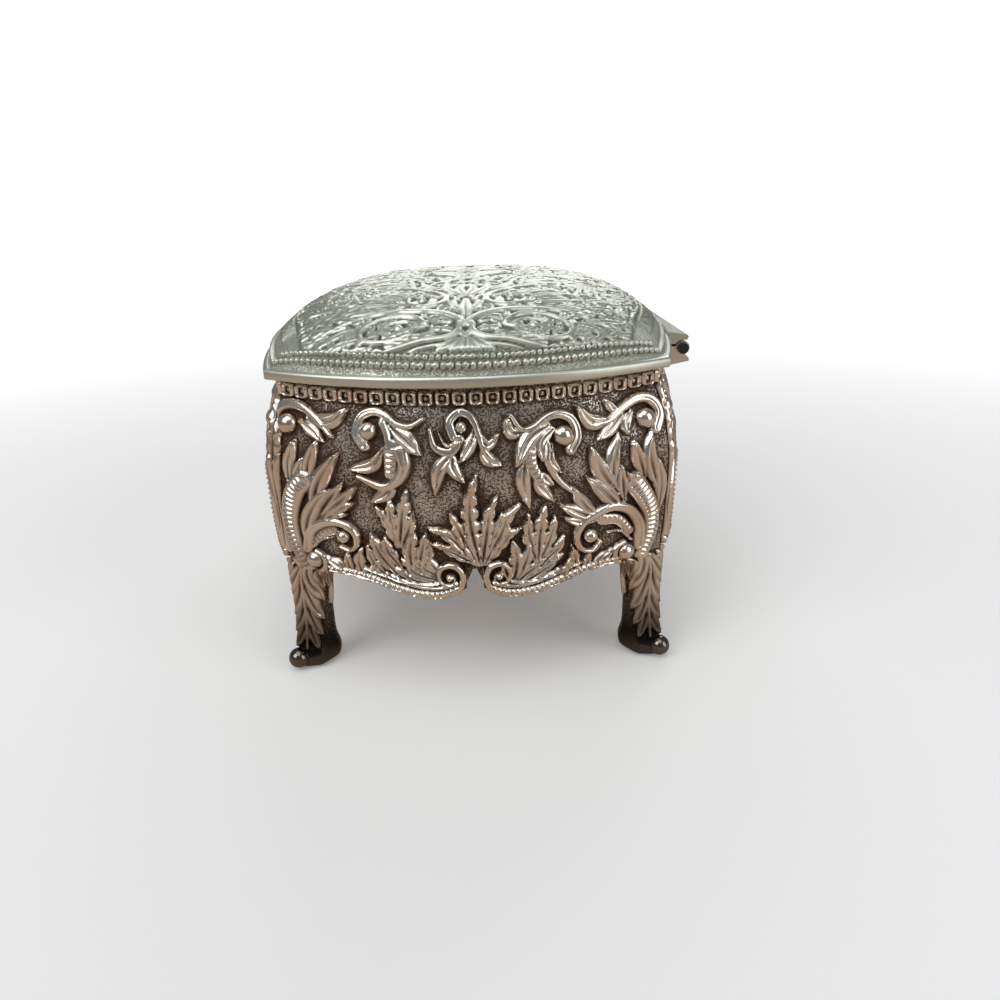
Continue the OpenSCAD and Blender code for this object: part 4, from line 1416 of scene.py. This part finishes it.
class ROSARYBOX_OT_stage(bpy.types.Operator):
    """Builds the floor, the lights, the surroundings and the camera"""

    bl_idname = "rosary_box.stage"
    bl_label = "Stage"

    def execute(self, context):
        scene = context.scene
        self.floor(scene)
        self.surroundings(scene)
        for light in LIGHTS:
            self.light(scene, *light)
        self.camera(scene)
        scene.view_settings.view_transform = "Standard"
        return {"FINISHED"}

    def floor(self, scene):
        """A wide, plain, pale floor."""
        bm = bmesh.new()
        bmesh.ops.create_grid(bm, x_segments=1, y_segments=1, size=20)
        mesh = bpy.data.meshes.new("floor")
        bm.to_mesh(mesh)
        bm.free()
        mat = bpy.data.materials.new("floor")
        mat.use_nodes = True
        n = Nodes(mat.node_tree)
        shader = mat.node_tree.nodes["Principled BSDF"]
        c = scene.rosary_box_colours
        path = n.add("ShaderNodeLightPath").outputs
        seen = n.mix(path["Is Glossy Ray"], rgba(c.floor), rgba(c.mirrored_floor))
        n.feed(shader.inputs["Base Color"], seen)
        shader.inputs["Roughness"].default_value = 0.9
        # The camera alone sees the floor fade to white with distance
        away = n.add("ShaderNodeVectorMath", operation="LENGTH")
        n.feed(away.inputs[0], n.add("ShaderNodeTexCoord").outputs["Object"])
        fade = n.ramp(away.outputs["Value"], 0.1, 0.9, 0.15, 1.0)
        n.feed(shader.inputs["Emission Color"], (1, 1, 1, 1))
        n.feed(shader.inputs["Emission Strength"], n.times(fade, path["Is Camera Ray"]))
        mesh.materials.append(mat)
        obj = bpy.data.objects.new("floor", mesh)
        scene.collection.objects.link(obj)

    def surroundings(self, scene):
        """White to the camera, and a softer grey to the metal."""
        world = bpy.data.worlds.new("studio")
        scene.world = world
        world.use_nodes = True
        n = Nodes(world.node_tree)
        world.node_tree.nodes.clear()
        seen = n.add("ShaderNodeBackground")
        n.feed(seen.inputs["Color"], (1, 1, 1, 1))
        around = n.add("ShaderNodeBackground")
        n.feed(around.inputs["Color"], (0.75, 0.8, 0.82, 1))
        n.feed(around.inputs["Strength"], 0.2)
        is_camera = n.add("ShaderNodeLightPath").outputs["Is Camera Ray"]
        sources = (is_camera, around.outputs[0], seen.outputs[0])
        both = n.fed(n.add("ShaderNodeMixShader"), sources)
        n.feed(n.add("ShaderNodeOutputWorld").inputs["Surface"], both)

    def light(self, scene, name, spot, target, size, power):
        """A soft lamp that faces a point."""
        lamp = bpy.data.lights.new(name, "AREA")
        lamp.shape = "RECTANGLE"
        lamp.size, lamp.size_y = size
        lamp.energy = power
        obj = bpy.data.objects.new(name, lamp)
        obj.location = spot
        facing = Vector(target) - Vector(spot)
        obj.rotation_euler = facing.to_track_quat("-Z", "Y").to_euler()
        scene.collection.objects.link(obj)

    def camera(self, scene):
        """The camera stands where the photograph was taken from."""
        ahead = Vector((-math.sin(CAMERA_YAW), math.cos(CAMERA_YAW), 0))
        right = Vector((math.cos(CAMERA_YAW), math.sin(CAMERA_YAW), 0))
        rise = Vector((0, 0, 1))
        forward = ahead * math.cos(CAMERA_PITCH) - rise * math.sin(CAMERA_PITCH)
        up = ahead * math.sin(CAMERA_PITCH) + rise * math.cos(CAMERA_PITCH)
        cam_x = right * math.cos(CAMERA_ROLL) - up * math.sin(CAMERA_ROLL)
        cam_y = right * math.sin(CAMERA_ROLL) + up * math.cos(CAMERA_ROLL)
        data = bpy.data.cameras.new("camera")
        data.lens = CAMERA_LENS
        data.sensor_width = 36.0
        data.clip_start = 0.01
        data.clip_end = 60.0
        obj = bpy.data.objects.new("camera", data)
        x, y, z = CAMERA_SPOT
        turned = Matrix((cam_x, cam_y, -forward)).transposed().to_4x4()
        obj.matrix_world = Matrix.Translation((x + dims().shift * MM, y, z)) @ turned
        scene.collection.objects.link(obj)
        scene.camera = obj


OPERATORS = (
    ROSARYBOX_OT_end_walls,
    ROSARYBOX_OT_side_walls,
    ROSARYBOX_OT_legs,
    ROSARYBOX_OT_lid,
    ROSARYBOX_OT_hardware,
    ROSARYBOX_OT_linings,
    ROSARYBOX_OT_stage,
)


class ROSARYBOX_PT_panel(bpy.types.Panel):
    """Sizes, colours and pieces of the rosary box"""

    bl_idname = "ROSARYBOX_PT_panel"
    bl_label = "Rosary box"
    bl_space_type = "VIEW_3D"
    bl_region_type = "UI"
    bl_category = "Rosary box"

    def draw(self, context):
        for group in (context.scene.rosary_box_sizes, context.scene.rosary_box_colours):
            for key in group.__annotations__:
                self.layout.prop(group, key)
        for operator in OPERATORS:
            self.layout.operator(operator.bl_idname)


CLASSES = (RosaryBoxSizes, RosaryBoxColours, *OPERATORS, ROSARYBOX_PT_panel)


def register():
    for cls in CLASSES:
        bpy.utils.register_class(cls)
    bpy.types.Scene.rosary_box_sizes = bpy.props.PointerProperty(type=RosaryBoxSizes)
    bpy.types.Scene.rosary_box_colours = bpy.props.PointerProperty(type=RosaryBoxColours)


def unregister():
    del bpy.types.Scene.rosary_box_colours
    del bpy.types.Scene.rosary_box_sizes
    for cls in reversed(CLASSES):
        bpy.utils.unregister_class(cls)


def main():
    """Builds the whole scene."""
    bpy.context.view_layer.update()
    register()
    for operator in OPERATORS:
        family, name = operator.bl_idname.split(".")
        getattr(getattr(bpy.ops, family), name)()


if __name__ == "__main__":
    main()
